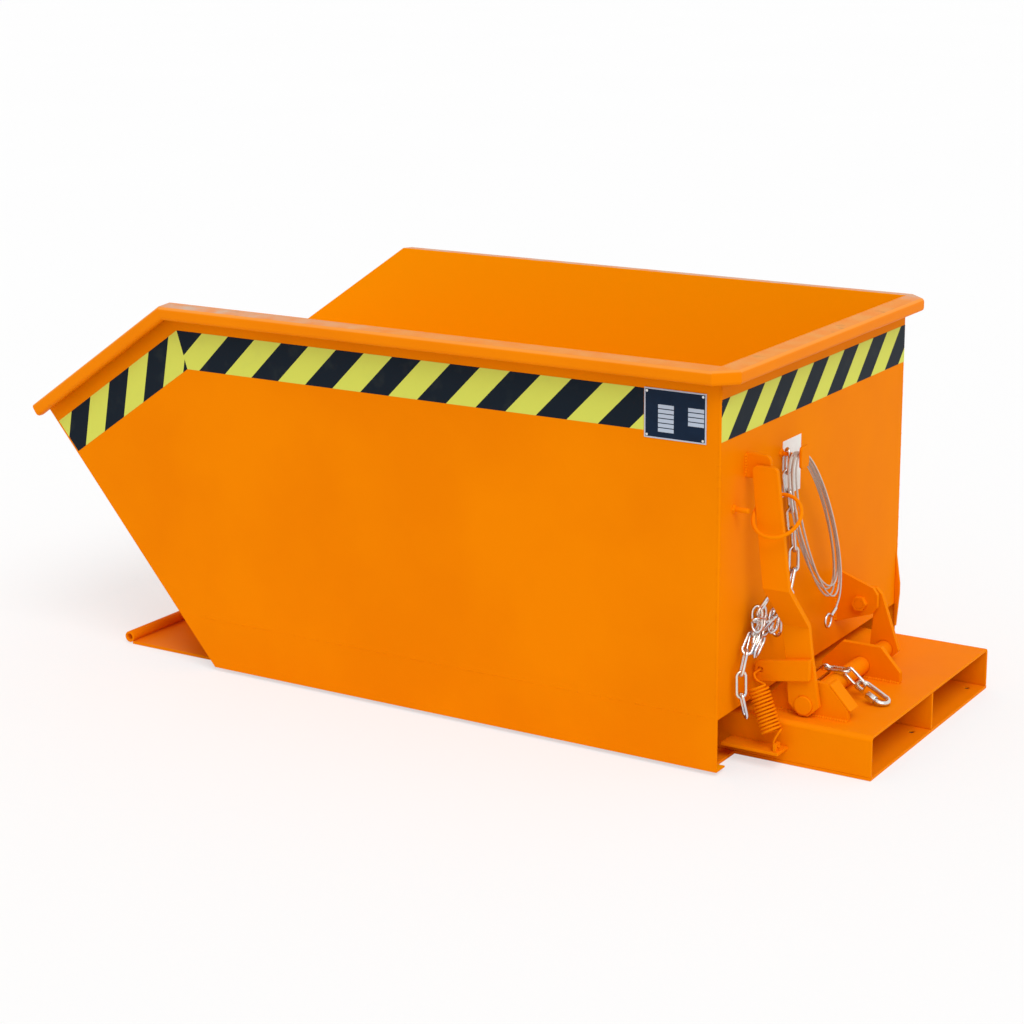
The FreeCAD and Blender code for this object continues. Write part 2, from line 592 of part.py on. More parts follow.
# Lock ring, slung round the upper lever.
ring = doc.addObject("Part::Torus", "Ring")
ring.setExpression("Radius1", bound("ring_radius"))
ring.setExpression("Radius2", bound("ring_wire"))
ring.Placement = Placement(Vector(), Rotation(Vector(1, 0, 0), size("ring_tilt")))
ring.setExpression("Placement.Base.x", bound("ring_x"))
ring.setExpression("Placement.Base.y", bound(f"-{lever_high}"))
ring.setExpression("Placement.Base.z", bound("ring_z"))
keep(ring, "lock_ring")


# Wire forms: pipes along tangent arcs.
def biarc(start, way_in, end, way_out):
    """Two tangent arcs that join two points with given directions."""
    gap = end - start
    ways = way_in + way_out
    turn = 2 * (1 - way_in.dot(way_out))
    if turn < 1e-9:
        reach = gap.dot(gap) / (4 * gap.dot(way_out))
    else:
        reach = (-gap.dot(ways) + math.sqrt(gap.dot(ways) ** 2 + turn * gap.dot(gap))) / turn
    middle = (start + end + (way_in - way_out) * reach) * 0.5
    return [arc_from(start, way_in, middle), arc_from(end, way_out * -1, middle)]


def arc_from(start, way, end):
    """An arc from a point along a direction to another point."""
    chord = end - start
    side = way - chord * (way.dot(chord) / chord.dot(chord))
    if side.Length < 1e-6:
        return Part.LineSegment(start, end).toShape()
    angle = way.getAngle(chord)
    bow = side.normalize() * (chord.Length / 2 * math.tan(angle / 2))
    return Part.Arc(start, start + chord * 0.5 + bow, end).toShape()


def wire_along(points, ways):
    """A smooth wire through points with given directions."""
    edges = []
    for i in range(len(points) - 1):
        edges += biarc(points[i], ways[i], points[i + 1], ways[i + 1])
    return Part.Wire(Part.__sortEdges__(edges))


def pipe_of(wire, start, way, radius):
    """A round pipe along a wire."""
    ring_face = Part.Wire(Part.makeCircle(radius, start, way))
    return wire.makePipeShell([ring_face], True, False)


NEIGHBOURS = 8


def report_pipe(name, pipe, wire, radius):
    """Print a pipe's length, the least gap between its turns and its volume against the ideal."""
    spots = wire.discretize(int(wire.Length / radius))
    least = min((other - spot).Length for i, spot in enumerate(spots)
                for other in spots[i + NEIGHBOURS:])
    ideal = math.pi * radius ** 2 * wire.Length
    print(name, "length", round(wire.Length), "gap", round(least - 2 * radius, 2),
          "volume share", round(pipe.Volume / ideal, 4))


# Return spring: close coils between the arm's hole and the anchor's hole.
SPRING_TURNS = 13
SPRING_STEPS = 4
arm_back = -deck_half + size("lever_inset") - size("lever_thick") / 2
arm_far = Vector(size("arm_hole_x"), arm_back, size("arm_hole_z"))
spring_head = arm_far - Vector(0, size("arm_thick") + size("spring_out"), 0)
spring_foot = Vector(size("anchor_x"), -deck_half - size("anchor_out"), size("anchor_hole_z"))
spring_line = spring_foot - spring_head
spring_way = Vector(spring_line).normalize()
spring_side = spring_way.cross(Vector(0, 1, 0)).normalize()
spring_cross = spring_way.cross(spring_side)
coil_long = spring_line.Length - 2 * size("spring_hook")
coil_top = spring_head + spring_way * size("spring_hook")


def spring_spot(turns):
    """A place on the spring's helix after so many turns."""
    angle = 2 * math.pi * turns
    across = spring_side * math.cos(angle) + spring_cross * math.sin(angle)
    return coil_top + spring_way * (coil_long * turns / SPRING_TURNS) + across * size("spring_radius")


def helix_way(turns):
    """The direction of the helix there."""
    small = 1e-4
    return (spring_spot(turns + small) - spring_spot(turns - small)).normalize()


anchor_far = spring_foot + Vector(size("hook_bend"), 0, 0)
turns = [i / SPRING_STEPS for i in range(SPRING_TURNS * SPRING_STEPS + 1)]
points = [spring_spot(t) for t in turns]
ways = [helix_way(t) for t in turns]
head_way = Vector(0, -1, 0)
foot_way = Vector(1, 0, 0)
points = [arm_far, spring_head + Vector(0, size("hook_bend"), 0),
          spring_head + spring_way * (size("spring_hook") / 2)] + points
ways = [head_way, head_way, spring_way] + ways
points += [spring_foot - spring_way * (size("spring_hook") / 2),
           spring_foot - foot_way * size("hook_bend"), anchor_far]
ways += [spring_way, foot_way, foot_way]
spring_wire = wire_along(points, ways)
spring_pipe = pipe_of(spring_wire, arm_far, head_way, size("spring_wire"))
report_pipe("spring", spring_pipe, spring_wire, size("spring_wire"))
shape_piece("latch_spring", spring_pipe)

# Release rope: a hank of loose turns on the rope hook, ending in a ferrule and a thimble eye.
ROPE_TURNS = 4.5
ROPE_STEPS = 12
HANK_SWAY_SHARE = 0.07
WIDTH_RATE_SHARE = 0.45
FALL_RATE_SHARE = 0.3
NECK_DIP_SHARE = 0.6
rope_top = neck_z + size("neck_thick") + size("rope_radius") + size("rope_lift")
neck_dip = rope_top - neck_z - size("neck_thick") / 2
first_turn = size("neck_width") / 2 / size("hank_half")


def rope_spot(angle):
    """A place on the hank; the angle counts from the top of the first turn."""
    half_width = size("hank_half") * (1 + HANK_SWAY_SHARE * math.sin(WIDTH_RATE_SHARE * angle))
    fall = size("hank_high") * (1 - HANK_SWAY_SHARE * math.sin(FALL_RATE_SHARE * angle) ** 2)
    low = (1 - math.cos(angle)) / 2
    last = max(0.0, angle - 2 * math.pi * (ROPE_TURNS - 0.5)) / math.pi
    dip = neck_dip * math.exp(-(angle / NECK_DIP_SHARE) ** 2)
    return Vector(size("rope_x") + size("rope_step") * angle / (2 * math.pi),
                  size("hook_y") + half_width * math.sin(angle) + size("hank_lean") * low,
                  rope_top - fall * low - dip - size("rope_tail") * last ** 2)


def rope_way(angle):
    """The direction of the rope there."""
    small = 1e-4
    return (rope_spot(angle + small) - rope_spot(angle - small)).normalize()


last_angle = 2 * math.pi * ROPE_TURNS
steps = int(ROPE_TURNS * ROPE_STEPS)
angles = [first_turn + (last_angle - first_turn) * i / steps for i in range(steps + 1)]
start_way = Vector(0, 1, 0)
rope_points = [rope_spot(a) for a in angles]
rope_ways = [start_way] + [rope_way(a) for a in angles[1:]]
rope_wire = wire_along(rope_points, rope_ways)
rope_pipe = pipe_of(rope_wire, rope_points[0], start_way, size("rope_radius"))
report_pipe("rope", rope_pipe, rope_wire, size("rope_radius"))
shape_piece("release_rope", rope_pipe)
rope_end = rope_points[-1]
end_way = rope_ways[-1]
ferrule = Part.makeCylinder(size("ferrule_radius"), size("ferrule_long"), rope_end, end_way)
shape_piece("rope_ferrule", ferrule)
eye_middle = rope_end + end_way * (size("ferrule_long") + size("thimble_radius") + size("eye_wire"))
eye_shape = Part.makeTorus(size("thimble_radius"), size("eye_wire"), eye_middle, Vector(1, 0, 0))
shape_piece("rope_eye", eye_shape)


# Safety chain: long links along hand-laid lines, and an open quick link at its end.
def stadium_link(long, wide, radius):
    """A link: a round bar bent to a long oval, centred, along X and wide in Y."""
    bend = wide / 2 - radius
    straight = (long - wide) / 2
    corner = [Vector(straight, bend, 0), Vector(straight + bend, 0, 0), Vector(straight, -bend, 0)]
    other = [Vector(-p.x, -p.y, 0) for p in corner]
    edges = [Part.Arc(*corner).toShape(), Part.LineSegment(corner[2], other[0]).toShape(),
             Part.Arc(*other).toShape(), Part.LineSegment(other[2], corner[0]).toShape()]
    return Part.Wire(edges)


link_long = size("chain_pitch") + 4 * size("chain_wire")
link_wire = stadium_link(link_long, size("chain_width"), size("chain_wire"))
link_start = link_wire.Edges[0].valueAt(link_wire.Edges[0].FirstParameter)
chain_link = pipe_of(link_wire, link_start, Vector(1, 0, 0), size("chain_wire"))
chain_step = size("chain_pitch") - size("chain_slack")


def chain(label, start, ways, roll):
    """Links laid end to end along a list of directions, each turned square to the last."""
    links = []
    here = Vector(start)
    for index, way in enumerate(ways):
        along = Vector(way).normalize()
        flat = along.cross(Vector(roll)).normalize()
        wide = flat if index % 2 == 0 else along.cross(flat)
        turn = Rotation(along, wide, along.cross(wide), "XYZ")
        link = chain_link.copy()
        link.Placement = Placement(here + along * (chain_step / 2), turn)
        links.append(link)
        here = here + along * chain_step
    shape_piece(label, Part.makeCompound(links))
    return here


# The chain hangs on the rope hook, passes between lever and wall and drapes over the arm.
HANGING_WAYS = [(0, 0, -1), (0, 0.24, -1), (0, 0.26, -1), (0, 0.24, -1), (0, 0.16, -1), (0, 0, -1),
                (0.04, -0.5, -0.87), (0.04, -0.87, -0.5), (0.03, -0.98, -0.2), (0, -1, 0),
                (0, -0.95, -0.31), (0, -0.76, -0.66), (0, -0.44, -0.9), (0.05, -0.05, -1),
                (0.2, 0.1, -0.97)]
hang_start = Vector(size("chain_x"), size("hook_y"),
                    neck_z + size("neck_thick") + size("chain_lift"))
chain("chain_hanging", hang_start, HANGING_WAYS, (1, 1, 0))

# A second end lies over the latch shaft, with the open quick link leaning on the deck.
LYING_WAYS = [(31, 3, 13.5), (25, 3, 23.5), (34, 3, 0), (25, 3, -23.5)]
QUICK_WAY = Vector(72, -24, -24).normalize()
lay_start = Vector(size("lay_x"), -size("lay_y"), size("base_height") + size("lay_rise"))
lay_end = chain("chain_lying", lay_start, LYING_WAYS, (0, 0, 1))
quick_wire = stadium_link(size("link_length"), size("link_width"), size("link_wire"))
quick_start = quick_wire.Edges[0].valueAt(quick_wire.Edges[0].FirstParameter)
quick_solid = pipe_of(quick_wire, quick_start, Vector(1, 0, 0), size("link_wire"))
bar_y = size("link_width") / 2 - size("link_wire")
gate_half = size("sleeve_radius")
gate_low = Vector(-size("link_gate"), -bar_y - gate_half, -gate_half)
gate = Part.makeBox(size("link_gate"), 2 * gate_half, 2 * gate_half, gate_low)
sleeve_place = Vector(0, -bar_y, 0)
sleeve_way = Vector(1, 0, 0)
sleeve_long = size("sleeve_long")
sleeve = Part.makeCylinder(size("sleeve_radius"), sleeve_long, sleeve_place, sleeve_way)
bore_radius = size("link_wire") + size("sleeve_fit")
sleeve_bore = Part.makeCylinder(bore_radius, sleeve_long, sleeve_place, sleeve_way)
quick_flat = level.cross(QUICK_WAY).normalize()
quick_turn = Rotation(QUICK_WAY, quick_flat, QUICK_WAY.cross(quick_flat), "XYZ")
quick_reach = size("link_length") / 2 - size("link_wire")
quick_hang = lay_end - Vector(LYING_WAYS[-1]).normalize() * size("link_slack")
quick_place = Placement(quick_hang + QUICK_WAY * quick_reach, quick_turn)
quick_forms = {"quick_link": quick_solid.cut(gate), "quick_link_sleeve": sleeve.cut(sleeve_bore)}
for name, form in quick_forms.items():
    form.Placement = quick_place
    shape_piece(name, form)

doc.recompute()
for item in doc.Objects:
    if "Invalid" in item.State or "Error" in item.State:
        raise RuntimeError(f"{item.Label} did not build: {item.State}")
for piece in subparts:
    if piece.Shape.isNull() or not piece.Shape.isValid() or not piece.Shape.Solids:
        raise RuntimeError(f"{piece.Label} is not a valid solid")

os.makedirs("parts", exist_ok=True)
for piece in subparts:
    piece.Shape.exportStep(f"parts/{piece.Label}.step")
print(len(subparts), "sub-parts written")
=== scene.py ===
# %% [markdown]
# # A low tipping skip for fork trucks
# The real object is bent and welded from sheet steel and sprayed orange. A fork truck lifts it by two
# pockets in its base. Pull the lever at the back, and the skip tips over the front edge of the base.
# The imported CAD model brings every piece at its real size, so this lesson adds only what CAD leaves
# plain: paint, zinc, hazard tape, weld beads, rounded folds, the coiled spring and the rope.

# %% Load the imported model
import json
import math
import random

import bmesh
import bpy
from mathutils import Matrix, Vector

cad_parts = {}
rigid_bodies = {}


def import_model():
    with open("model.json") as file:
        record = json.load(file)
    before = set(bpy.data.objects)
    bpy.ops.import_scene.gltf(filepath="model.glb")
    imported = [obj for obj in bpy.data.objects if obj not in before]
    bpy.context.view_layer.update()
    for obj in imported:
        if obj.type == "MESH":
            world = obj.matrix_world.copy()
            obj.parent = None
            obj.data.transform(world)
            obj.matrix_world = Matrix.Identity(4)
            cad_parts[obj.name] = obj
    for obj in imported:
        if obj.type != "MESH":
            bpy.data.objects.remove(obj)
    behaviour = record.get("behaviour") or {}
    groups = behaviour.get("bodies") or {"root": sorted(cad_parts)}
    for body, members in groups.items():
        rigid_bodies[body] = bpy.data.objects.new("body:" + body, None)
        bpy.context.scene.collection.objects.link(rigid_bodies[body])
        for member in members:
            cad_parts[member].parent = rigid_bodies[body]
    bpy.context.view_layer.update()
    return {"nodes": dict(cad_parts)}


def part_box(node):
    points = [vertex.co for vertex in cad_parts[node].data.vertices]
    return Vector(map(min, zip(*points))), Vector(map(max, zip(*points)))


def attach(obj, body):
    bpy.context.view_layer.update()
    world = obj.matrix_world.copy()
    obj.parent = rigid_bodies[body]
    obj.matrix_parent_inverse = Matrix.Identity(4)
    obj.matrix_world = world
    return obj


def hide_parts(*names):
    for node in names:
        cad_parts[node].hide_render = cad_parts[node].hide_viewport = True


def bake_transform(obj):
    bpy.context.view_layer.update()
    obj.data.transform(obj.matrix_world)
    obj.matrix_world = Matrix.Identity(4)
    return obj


for leftover in list(bpy.data.objects):
    bpy.data.objects.remove(leftover)
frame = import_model()
nodes = frame["nodes"]

# %% [markdown]
# ## Camera
# The photograph's straight edges give the camera: its height, heading, pitch and focal length. Only the
# ratio of focal length to image width matters, so pixels are turned into millimetres on a sensor. The
# picture was cropped a little off centre, which a small lens shift repeats.

# %% Camera
IMAGE_SIDE_PX = 1024
FOCAL_PX = 2309.6
SENSOR_MM = 36.0
CAMERA_SPOT = Vector((1.5089, -3.2975, 1.3326))
CAMERA_HEADING = 30.149
CAMERA_PITCH = 14.603
SHIFT_SHARE = (-0.086, -0.031)

scene = bpy.context.scene
camera_data = bpy.data.cameras.new("photo_camera")
camera_data.sensor_width = SENSOR_MM
camera_data.lens = FOCAL_PX / IMAGE_SIDE_PX * SENSOR_MM
camera_data.shift_x, camera_data.shift_y = SHIFT_SHARE
camera = bpy.data.objects.new("photo_camera", camera_data)
camera.location = CAMERA_SPOT
camera.rotation_euler = (math.radians(90 - CAMERA_PITCH), 0, math.radians(CAMERA_HEADING))
scene.collection.objects.link(camera)
scene.camera = camera
scene.view_settings.view_transform = "Standard"
print("lens", round(camera_data.lens, 1), "mm")

# %% [markdown]
# ## Shader maths as Python
# A material is a graph of nodes. Wiring each Math node by hand hides the idea, so one small class wraps
# a socket and lets plain Python operators add the Math nodes. Every other node comes from one method.


# %% A socket with arithmetic
class Wire:
    """A socket of a finish, with arithmetic that adds Math nodes."""

    def __init__(self, finish, socket):
        self.finish = finish
        self.socket = socket

    def maths(self, operation, first, second=0.0):
        return self.finish.node("ShaderNodeMath", {"operation": operation}, {0: first, 1: second})

    def __add__(self, other):
        return self.maths("ADD", self, other)

    def __sub__(self, other):
        return self.maths("SUBTRACT", self, other)

    def __rsub__(self, other):
        return self.maths("SUBTRACT", other, self)

    def __mul__(self, other):
        return self.maths("MULTIPLY", self, other)

    def __truediv__(self, other):
        return self.maths("DIVIDE", self, other)

    def __gt__(self, other):
        return self.maths("GREATER_THAN", self, other)

    def __lt__(self, other):
        return self.maths("LESS_THAN", self, other)

    __radd__ = __add__
    __rmul__ = __mul__

    def fraction(self):
        return self.maths("FRACT", self)

    def wave(self):
        return self.maths("SINE", self)

    def between(self, low, high):
        return (self > low) * (self < high)

    def ramp(self, low, high):
        """Zero below one value, one above the other, and even in between."""
        sockets = {"Value": self, "From Min": low, "From Max": high}
        return self.finish.node("ShaderNodeMapRange", {"clamp": True}, sockets)


print("a socket can add, subtract, multiply, divide and compare")


# %% A finish
class Finish:
    """One material, or the world, built from the piece's own coordinates."""

    def __init__(self, name, blocks=bpy.data.materials):
        self.material = blocks.new(name)
        self.material.use_nodes = True
        self.tree = self.material.node_tree
        self.tree.nodes.clear()

    def node(self, kind, settings=None, sockets=None, out=0):
        """Add any node: its settings first, then the values or links of its sockets."""
        made = self.tree.nodes.new(kind)
        for key, value in (settings or {}).items():
            setattr(made, key, value)
        for key, value in (sockets or {}).items():
            if isinstance(value, Wire):
                self.tree.links.new(value.socket, made.inputs[key])
            else:
                made.inputs[key].default_value = value
        return Wire(self, made.outputs[out]) if made.outputs else None

    def place(self):
        """Where a point lies on the piece, in metres."""
        return self.node("ShaderNodeTexCoord", out="Object")

    def facing(self):
        """Which way the piece's own surface looks there."""
        return self.node("ShaderNodeTexCoord", out="Normal")

    def axis(self, vector, name):
        """One coordinate of a vector."""
        return self.node("ShaderNodeSeparateXYZ", None, {0: vector}, out=name)

    def along(self, direction):
        """How far a point lies along a direction, in metres."""
        return self.vector("DOT_PRODUCT", self.place(), direction, out="Value")

    def vector(self, operation, first, second, out=0):
        """Maths on two vectors."""
        return self.node("ShaderNodeVectorMath", {"operation": operation}, {0: first, 1: second}, out)

    def noise(self, scale, detail=2.0, stretch=(1, 1, 1)):
        """Soft random clouds, from about 0.3 to 0.7."""
        spot = self.vector("MULTIPLY", self.place(), stretch)
        sockets = {"Vector": spot, "Scale": scale, "Detail": detail}
        return self.node("ShaderNodeTexNoise", None, sockets)

    def mix(self, share, first, second):
        """A colour between two, by a share."""
        sockets = {"Factor": share, 6: first, 7: second}
        return self.node("ShaderNodeMix", {"data_type": "RGBA"}, sockets, out=2)

    def bump(self, height, distance, strength=1.0):
        sockets = {"Height": height, "Distance": distance, "Strength": strength}
        return self.node("ShaderNodeBump", None, sockets)

    def surface(self, **sockets):
        """The surface shader, with _ for the spaces in its sockets' names."""
        named = {key.replace("_", " "): value for key, value in sockets.items()}
        return self.node("ShaderNodeBsdfPrincipled", None, named)

    def close(self, surface):
        """Close the graph, and hand over the material."""
        self.node("ShaderNodeOutputMaterial", None, {"Surface": surface})
        return self.material

    def shade(self, **sockets):
        return self.close(self.surface(**sockets))


def colour(red, green, blue):
    """A colour as a screen shows it, 0 to 255, in the linear light that shaders use."""
    shares = [c / 255 for c in (red, green, blue)]
    return tuple(s / 12.92 if s <= 0.04045 else ((s + 0.055) / 1.055) ** 2.4 for s in shares) + (1.0,)


print("shader helpers ready")

# %% [markdown]
# ## Floor and light
# A studio shot: a white floor that catches a soft shadow, an even sky and one broad sun. The sky and the
# sun together light a surface to about its own colour, so paint can be written as it looks. What the
# camera and the mirrors see of floor and sky is lifted towards white, which lights nothing.

# %% Floor
FLOOR_HALF = 40.0
FLOOR_DROP = 0.0005
FLOOR_WHITE_SHARE = 0.6
FLOOR_TONES = colour(249, 249, 249), colour(252, 252, 252)
FLOOR_CLOUD_SCALE = 0.7
FLOOR_ROUGHNESS = 0.9
WHITE = (1, 1, 1, 1)


def make_object(name, mesh_source):
    """Turn a bmesh into an object at the origin, smooth shaded, with its place in its mesh."""
    mesh = bpy.data.meshes.new(name)
    mesh_source.to_mesh(mesh)
    mesh_source.free()
    mesh.polygons.foreach_set("use_smooth", [True] * len(mesh.polygons))
    made = bpy.data.objects.new(name, mesh)
    scene.collection.objects.link(made)
    return made


floor_mesh = bmesh.new()
bmesh.ops.create_grid(floor_mesh, x_segments=1, y_segments=1, size=FLOOR_HALF)
bmesh.ops.translate(floor_mesh, verts=floor_mesh.verts, vec=(0, 0, -FLOOR_DROP))
floor = make_object("studio_floor", floor_mesh)


def shown(finish):
    """One where the camera, a mirror or a clear piece looks at the surface, and zero for its light."""
    ways = ["Is Camera Ray", "Is Glossy Ray", "Is Transmission Ray"]
    seen, mirrored, through = [finish.node("ShaderNodeLightPath", out=way) for way in ways]
    return seen + mirrored + through


floor_finish = Finish("studio_floor")
floor_cloud = floor_finish.noise(FLOOR_CLOUD_SCALE)
floor_colour = floor_finish.mix(floor_cloud, *FLOOR_TONES)
floor_lit = floor_finish.surface(Base_Color=floor_colour, Roughness=FLOOR_ROUGHNESS)
floor_white = floor_finish.node("ShaderNodeEmission", None, {"Color": WHITE})
floor_share = shown(floor_finish) * FLOOR_WHITE_SHARE
floor_blend = {0: floor_share, 1: floor_lit, 2: floor_white}
floor_mixed = floor_finish.node("ShaderNodeMixShader", None, floor_blend)
floor.data.materials.append(floor_finish.close(floor_mixed))
print("floor ready")

# %% Sky and sun
SKY_LIGHT = 0.66
SUN_LIGHT = 1.4
SUN_SOFTNESS = 35
SUN_TILT = (38, 0, 50)

sky = Finish("studio_sky", bpy.data.worlds)
sky_strength = SKY_LIGHT + shown(sky) * (1 - SKY_LIGHT)
sky_glow = sky.node("ShaderNodeBackground", None, {"Color": WHITE, "Strength": sky_strength})
sky.node("ShaderNodeOutputWorld", None, {"Surface": sky_glow})
scene.world = sky.material

sun_data = bpy.data.lights.new("broad_sun", "SUN")
sun_data.energy = SUN_LIGHT
sun_data.angle = math.radians(SUN_SOFTNESS)
sun = bpy.data.objects.new("broad_sun", sun_data)
sun.rotation_euler = [math.radians(turn) for turn in SUN_TILT]
scene.collection.objects.link(sun)
print("sky and sun ready")

# %% [markdown]
# ## Release rope
# A grey sheathed wire rope hangs in a loose hank on its hook. A rope keeps its length, so it is one
# smooth spline. Its turns come from the same formula as the CAD solid, in metres: each turn is a long
# loop that leans to the back, and slow waves make the turns differ, as loose turns do.

# %% The rope's route
ROPE_RADIUS = 0.0015
ROPE_TURNS = 4.5
ROPE_POINTS_PER_TURN = 24
ROPE_X = 0.0196
ROPE_STEP = 0.0037
ROPE_LIFT = 0.0008
ROPE_TAIL = 0.030
HANK_HIGH = 0.274
HANK_HALF = 0.056
HANK_LEAN = 0.142
HANK_SWAY_SHARE = 0.07
WIDTH_RATE_SHARE = 0.45
FALL_RATE_SHARE = 0.3
NECK_DIP_SHARE = 0.6
NECK_THICK = 0.006
NECK_WIDTH = 0.005
TAB_DROP = 0.015

hook_low, hook_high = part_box("rope_hook")
hook_y = (hook_low.y + hook_high.y) / 2
neck_z = hook_low.z + TAB_DROP
rope_top = neck_z + NECK_THICK + ROPE_RADIUS + ROPE_LIFT
neck_dip = rope_top - neck_z - NECK_THICK / 2


def rope_spot(angle):
    """A place on the hank; the angle counts from the top of the first turn."""
    half_width = HANK_HALF * (1 + HANK_SWAY_SHARE * math.sin(WIDTH_RATE_SHARE * angle))
    fall = HANK_HIGH * (1 - HANK_SWAY_SHARE * math.sin(FALL_RATE_SHARE * angle) ** 2)
    low = (1 - math.cos(angle)) / 2
    last = max(0.0, angle - 2 * math.pi * (ROPE_TURNS - 0.5)) / math.pi
    dip = neck_dip * math.exp(-((angle / NECK_DIP_SHARE) ** 2))
    return Vector((ROPE_X + ROPE_STEP * angle / (2 * math.pi),
                   hook_y + half_width * math.sin(angle) + HANK_LEAN * low,
                   rope_top - fall * low - dip - ROPE_TAIL * last**2))


first_turn = NECK_WIDTH / 2 / HANK_HALF
rope_steps = int(ROPE_TURNS * ROPE_POINTS_PER_TURN)
rope_sweep = 2 * math.pi * ROPE_TURNS - first_turn
rope_points = [rope_spot(first_turn + rope_sweep * i / rope_steps) for i in range(rope_steps + 1)]
print("rope points", len(rope_points))

# %% Tubes along smooth lines
SPLINE_ORDER = 3
SPLINE_STEPS = 4


def spline_object(name, points, closed=False):
    """A bare smooth line: one NURBS spline, with the points as its control points."""
    curve = bpy.data.curves.new(name, "CURVE")
    curve.dimensions = "3D"
    curve.use_fill_caps = True
    curve.resolution_u = SPLINE_STEPS
    spline = curve.splines.new("NURBS")
    spline.points.add(len(points) - 1)
    for knot, point in zip(spline.points, points):
        knot.co = (*point, 1)
    spline.order_u = SPLINE_ORDER
    spline.use_endpoint_u = not closed
    spline.use_cyclic_u = closed
    made = bpy.data.objects.new(name, curve)
    scene.collection.objects.link(made)
    return made


def mesh_of(curve_object):
    """What a curve looks like just now, as a mesh."""
    bpy.context.view_layer.update()
    graph = bpy.context.evaluated_depsgraph_get()
    return bpy.data.meshes.new_from_object(curve_object.evaluated_get(graph))


def tube(name, points, radius, roundness, closed=False):
    """A round tube along a smooth line, as a mesh piece, and the points that it follows."""
    line = spline_object(name, points, closed)
    followed = [vert.co.copy() for vert in mesh_of(line).vertices]
    line.data.bevel_depth = radius
    line.data.bevel_resolution = roundness
    made = bpy.data.objects.new(name, mesh_of(line))
    bpy.data.objects.remove(line)
    made.name = name
    scene.collection.objects.link(made)
    return made, followed


print("tubes follow splines of order", SPLINE_ORDER)

# %% Hang the rope
ROPE_ROUNDNESS = 3

rope, rope_line = tube("rope_hank", rope_points, ROPE_RADIUS, ROPE_ROUNDNESS)
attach(rope, "skip")
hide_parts("release_rope")
print("rope faces", len(rope.data.polygons))

# %% [markdown]
# ## Return spring
# The spring pulls the latch arm down. It is close-wound wire with a hook at each end. The same tube along
# a smooth line makes it, this time round a helix. Its top has to follow the arm while its foot stays on
# the base; here it is wound once, in place, and not blended between the two.

# %% The spring's ends
SPRING_HOOK = 0.022
SPRING_OUT = 0.022
ARM_HOLE = Vector((0.014, 0, 0.141))
ANCHOR_HOLE_Z = 0.037

arm_low, arm_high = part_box("latch_arm")
anchor_low, anchor_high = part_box("spring_anchor")
arm_back = Vector((ARM_HOLE.x, arm_high.y, ARM_HOLE.z))
spring_head = Vector((ARM_HOLE.x, arm_low.y - SPRING_OUT, ARM_HOLE.z))
spring_foot = Vector(((anchor_low.x + anchor_high.x) / 2, (anchor_low.y + anchor_high.y) / 2,
                      ANCHOR_HOLE_Z))
spring_line = spring_foot - spring_head
spring_way = spring_line.normalized()
spring_side = spring_way.cross(Vector((0, 1, 0))).normalized()
spring_cross = spring_way.cross(spring_side)
coil_top = spring_head + spring_way * SPRING_HOOK
coil_long = spring_line.length - 2 * SPRING_HOOK
print("coil length", round(coil_long, 4))

# %% Wind the spring
SPRING_WIRE = 0.0019
SPRING_RADIUS = 0.0155
SPRING_TURNS = 13
SPRING_POINTS_PER_TURN = 14
SPRING_ROUNDNESS = 2
HOOK_BEND = 0.006
HOOK_MIDDLE_SHARE = 0.45
FOOT_WAY = Vector((1, 0, 0))


def spring_spot(turns):
    """A place on the spring's helix after so many turns."""
    angle = 2 * math.pi * turns
    across = spring_side * math.cos(angle) + spring_cross * math.sin(angle)
    return coil_top + spring_way * (coil_long * turns / SPRING_TURNS) + across * SPRING_RADIUS


coil_steps = SPRING_TURNS * SPRING_POINTS_PER_TURN
spring_points = [arm_back, arm_back.lerp(spring_head, HOOK_MIDDLE_SHARE),
                 spring_head + Vector((0, HOOK_BEND, 0)), spring_head,
                 spring_head + spring_way * (SPRING_HOOK / 2)]
spring_points += [spring_spot(i / SPRING_POINTS_PER_TURN) for i in range(coil_steps + 1)]
spring_points += [spring_foot - spring_way * (SPRING_HOOK / 2), spring_foot - FOOT_WAY * HOOK_BEND,
                  spring_foot + FOOT_WAY * HOOK_BEND]
spring = tube("return_spring", spring_points, SPRING_WIRE, SPRING_ROUNDNESS)[0]
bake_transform(spring)
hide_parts("latch_spring")
print("spring faces", len(spring.data.polygons))

# %% [markdown]
# ## Orange paint
# Powder coat is one even colour, but light shows its texture: a fine orange peel, faint clouds where the
# coat is thicker, and on the rim a pale bloom with scuffs, where loads are dragged over it. The bloom is
# partly dust and partly a painted reflection of the pale sky on faces that look up, and the rounded folds
# get a painted highlight. The inside is painted lighter: painted light that lifts its shade to the
# outside's brightness. Everything comes from the piece's own coordinates, so the paint stays put when
# the skip tips.

# %% Orange paint
PAINT = colour(245, 135, 0)
PAINT_DEEP = colour(240, 129, 0)
# Painted light: a lighter tone for faces that look into the skip, lifting their shade to the outside's
# brightness.
PAINT_INSIDE_LIT = colour(255, 166, 0)
# A painted highlight along the rim's rounded folds.
PAINT_FOLD_HIGHLIGHT = colour(255, 186, 104)
# Dust, and a painted reflection of the pale sky, on faces that look up; greyer towards the far side and the
# front.
PAINT_DUST_AND_SHEEN = colour(238, 163, 88)
PAINT_GREY_DUST_AND_SHEEN = colour(206, 188, 170)
PAINT_SCUFF = colour(150, 96, 50)
print("paint tones ready")

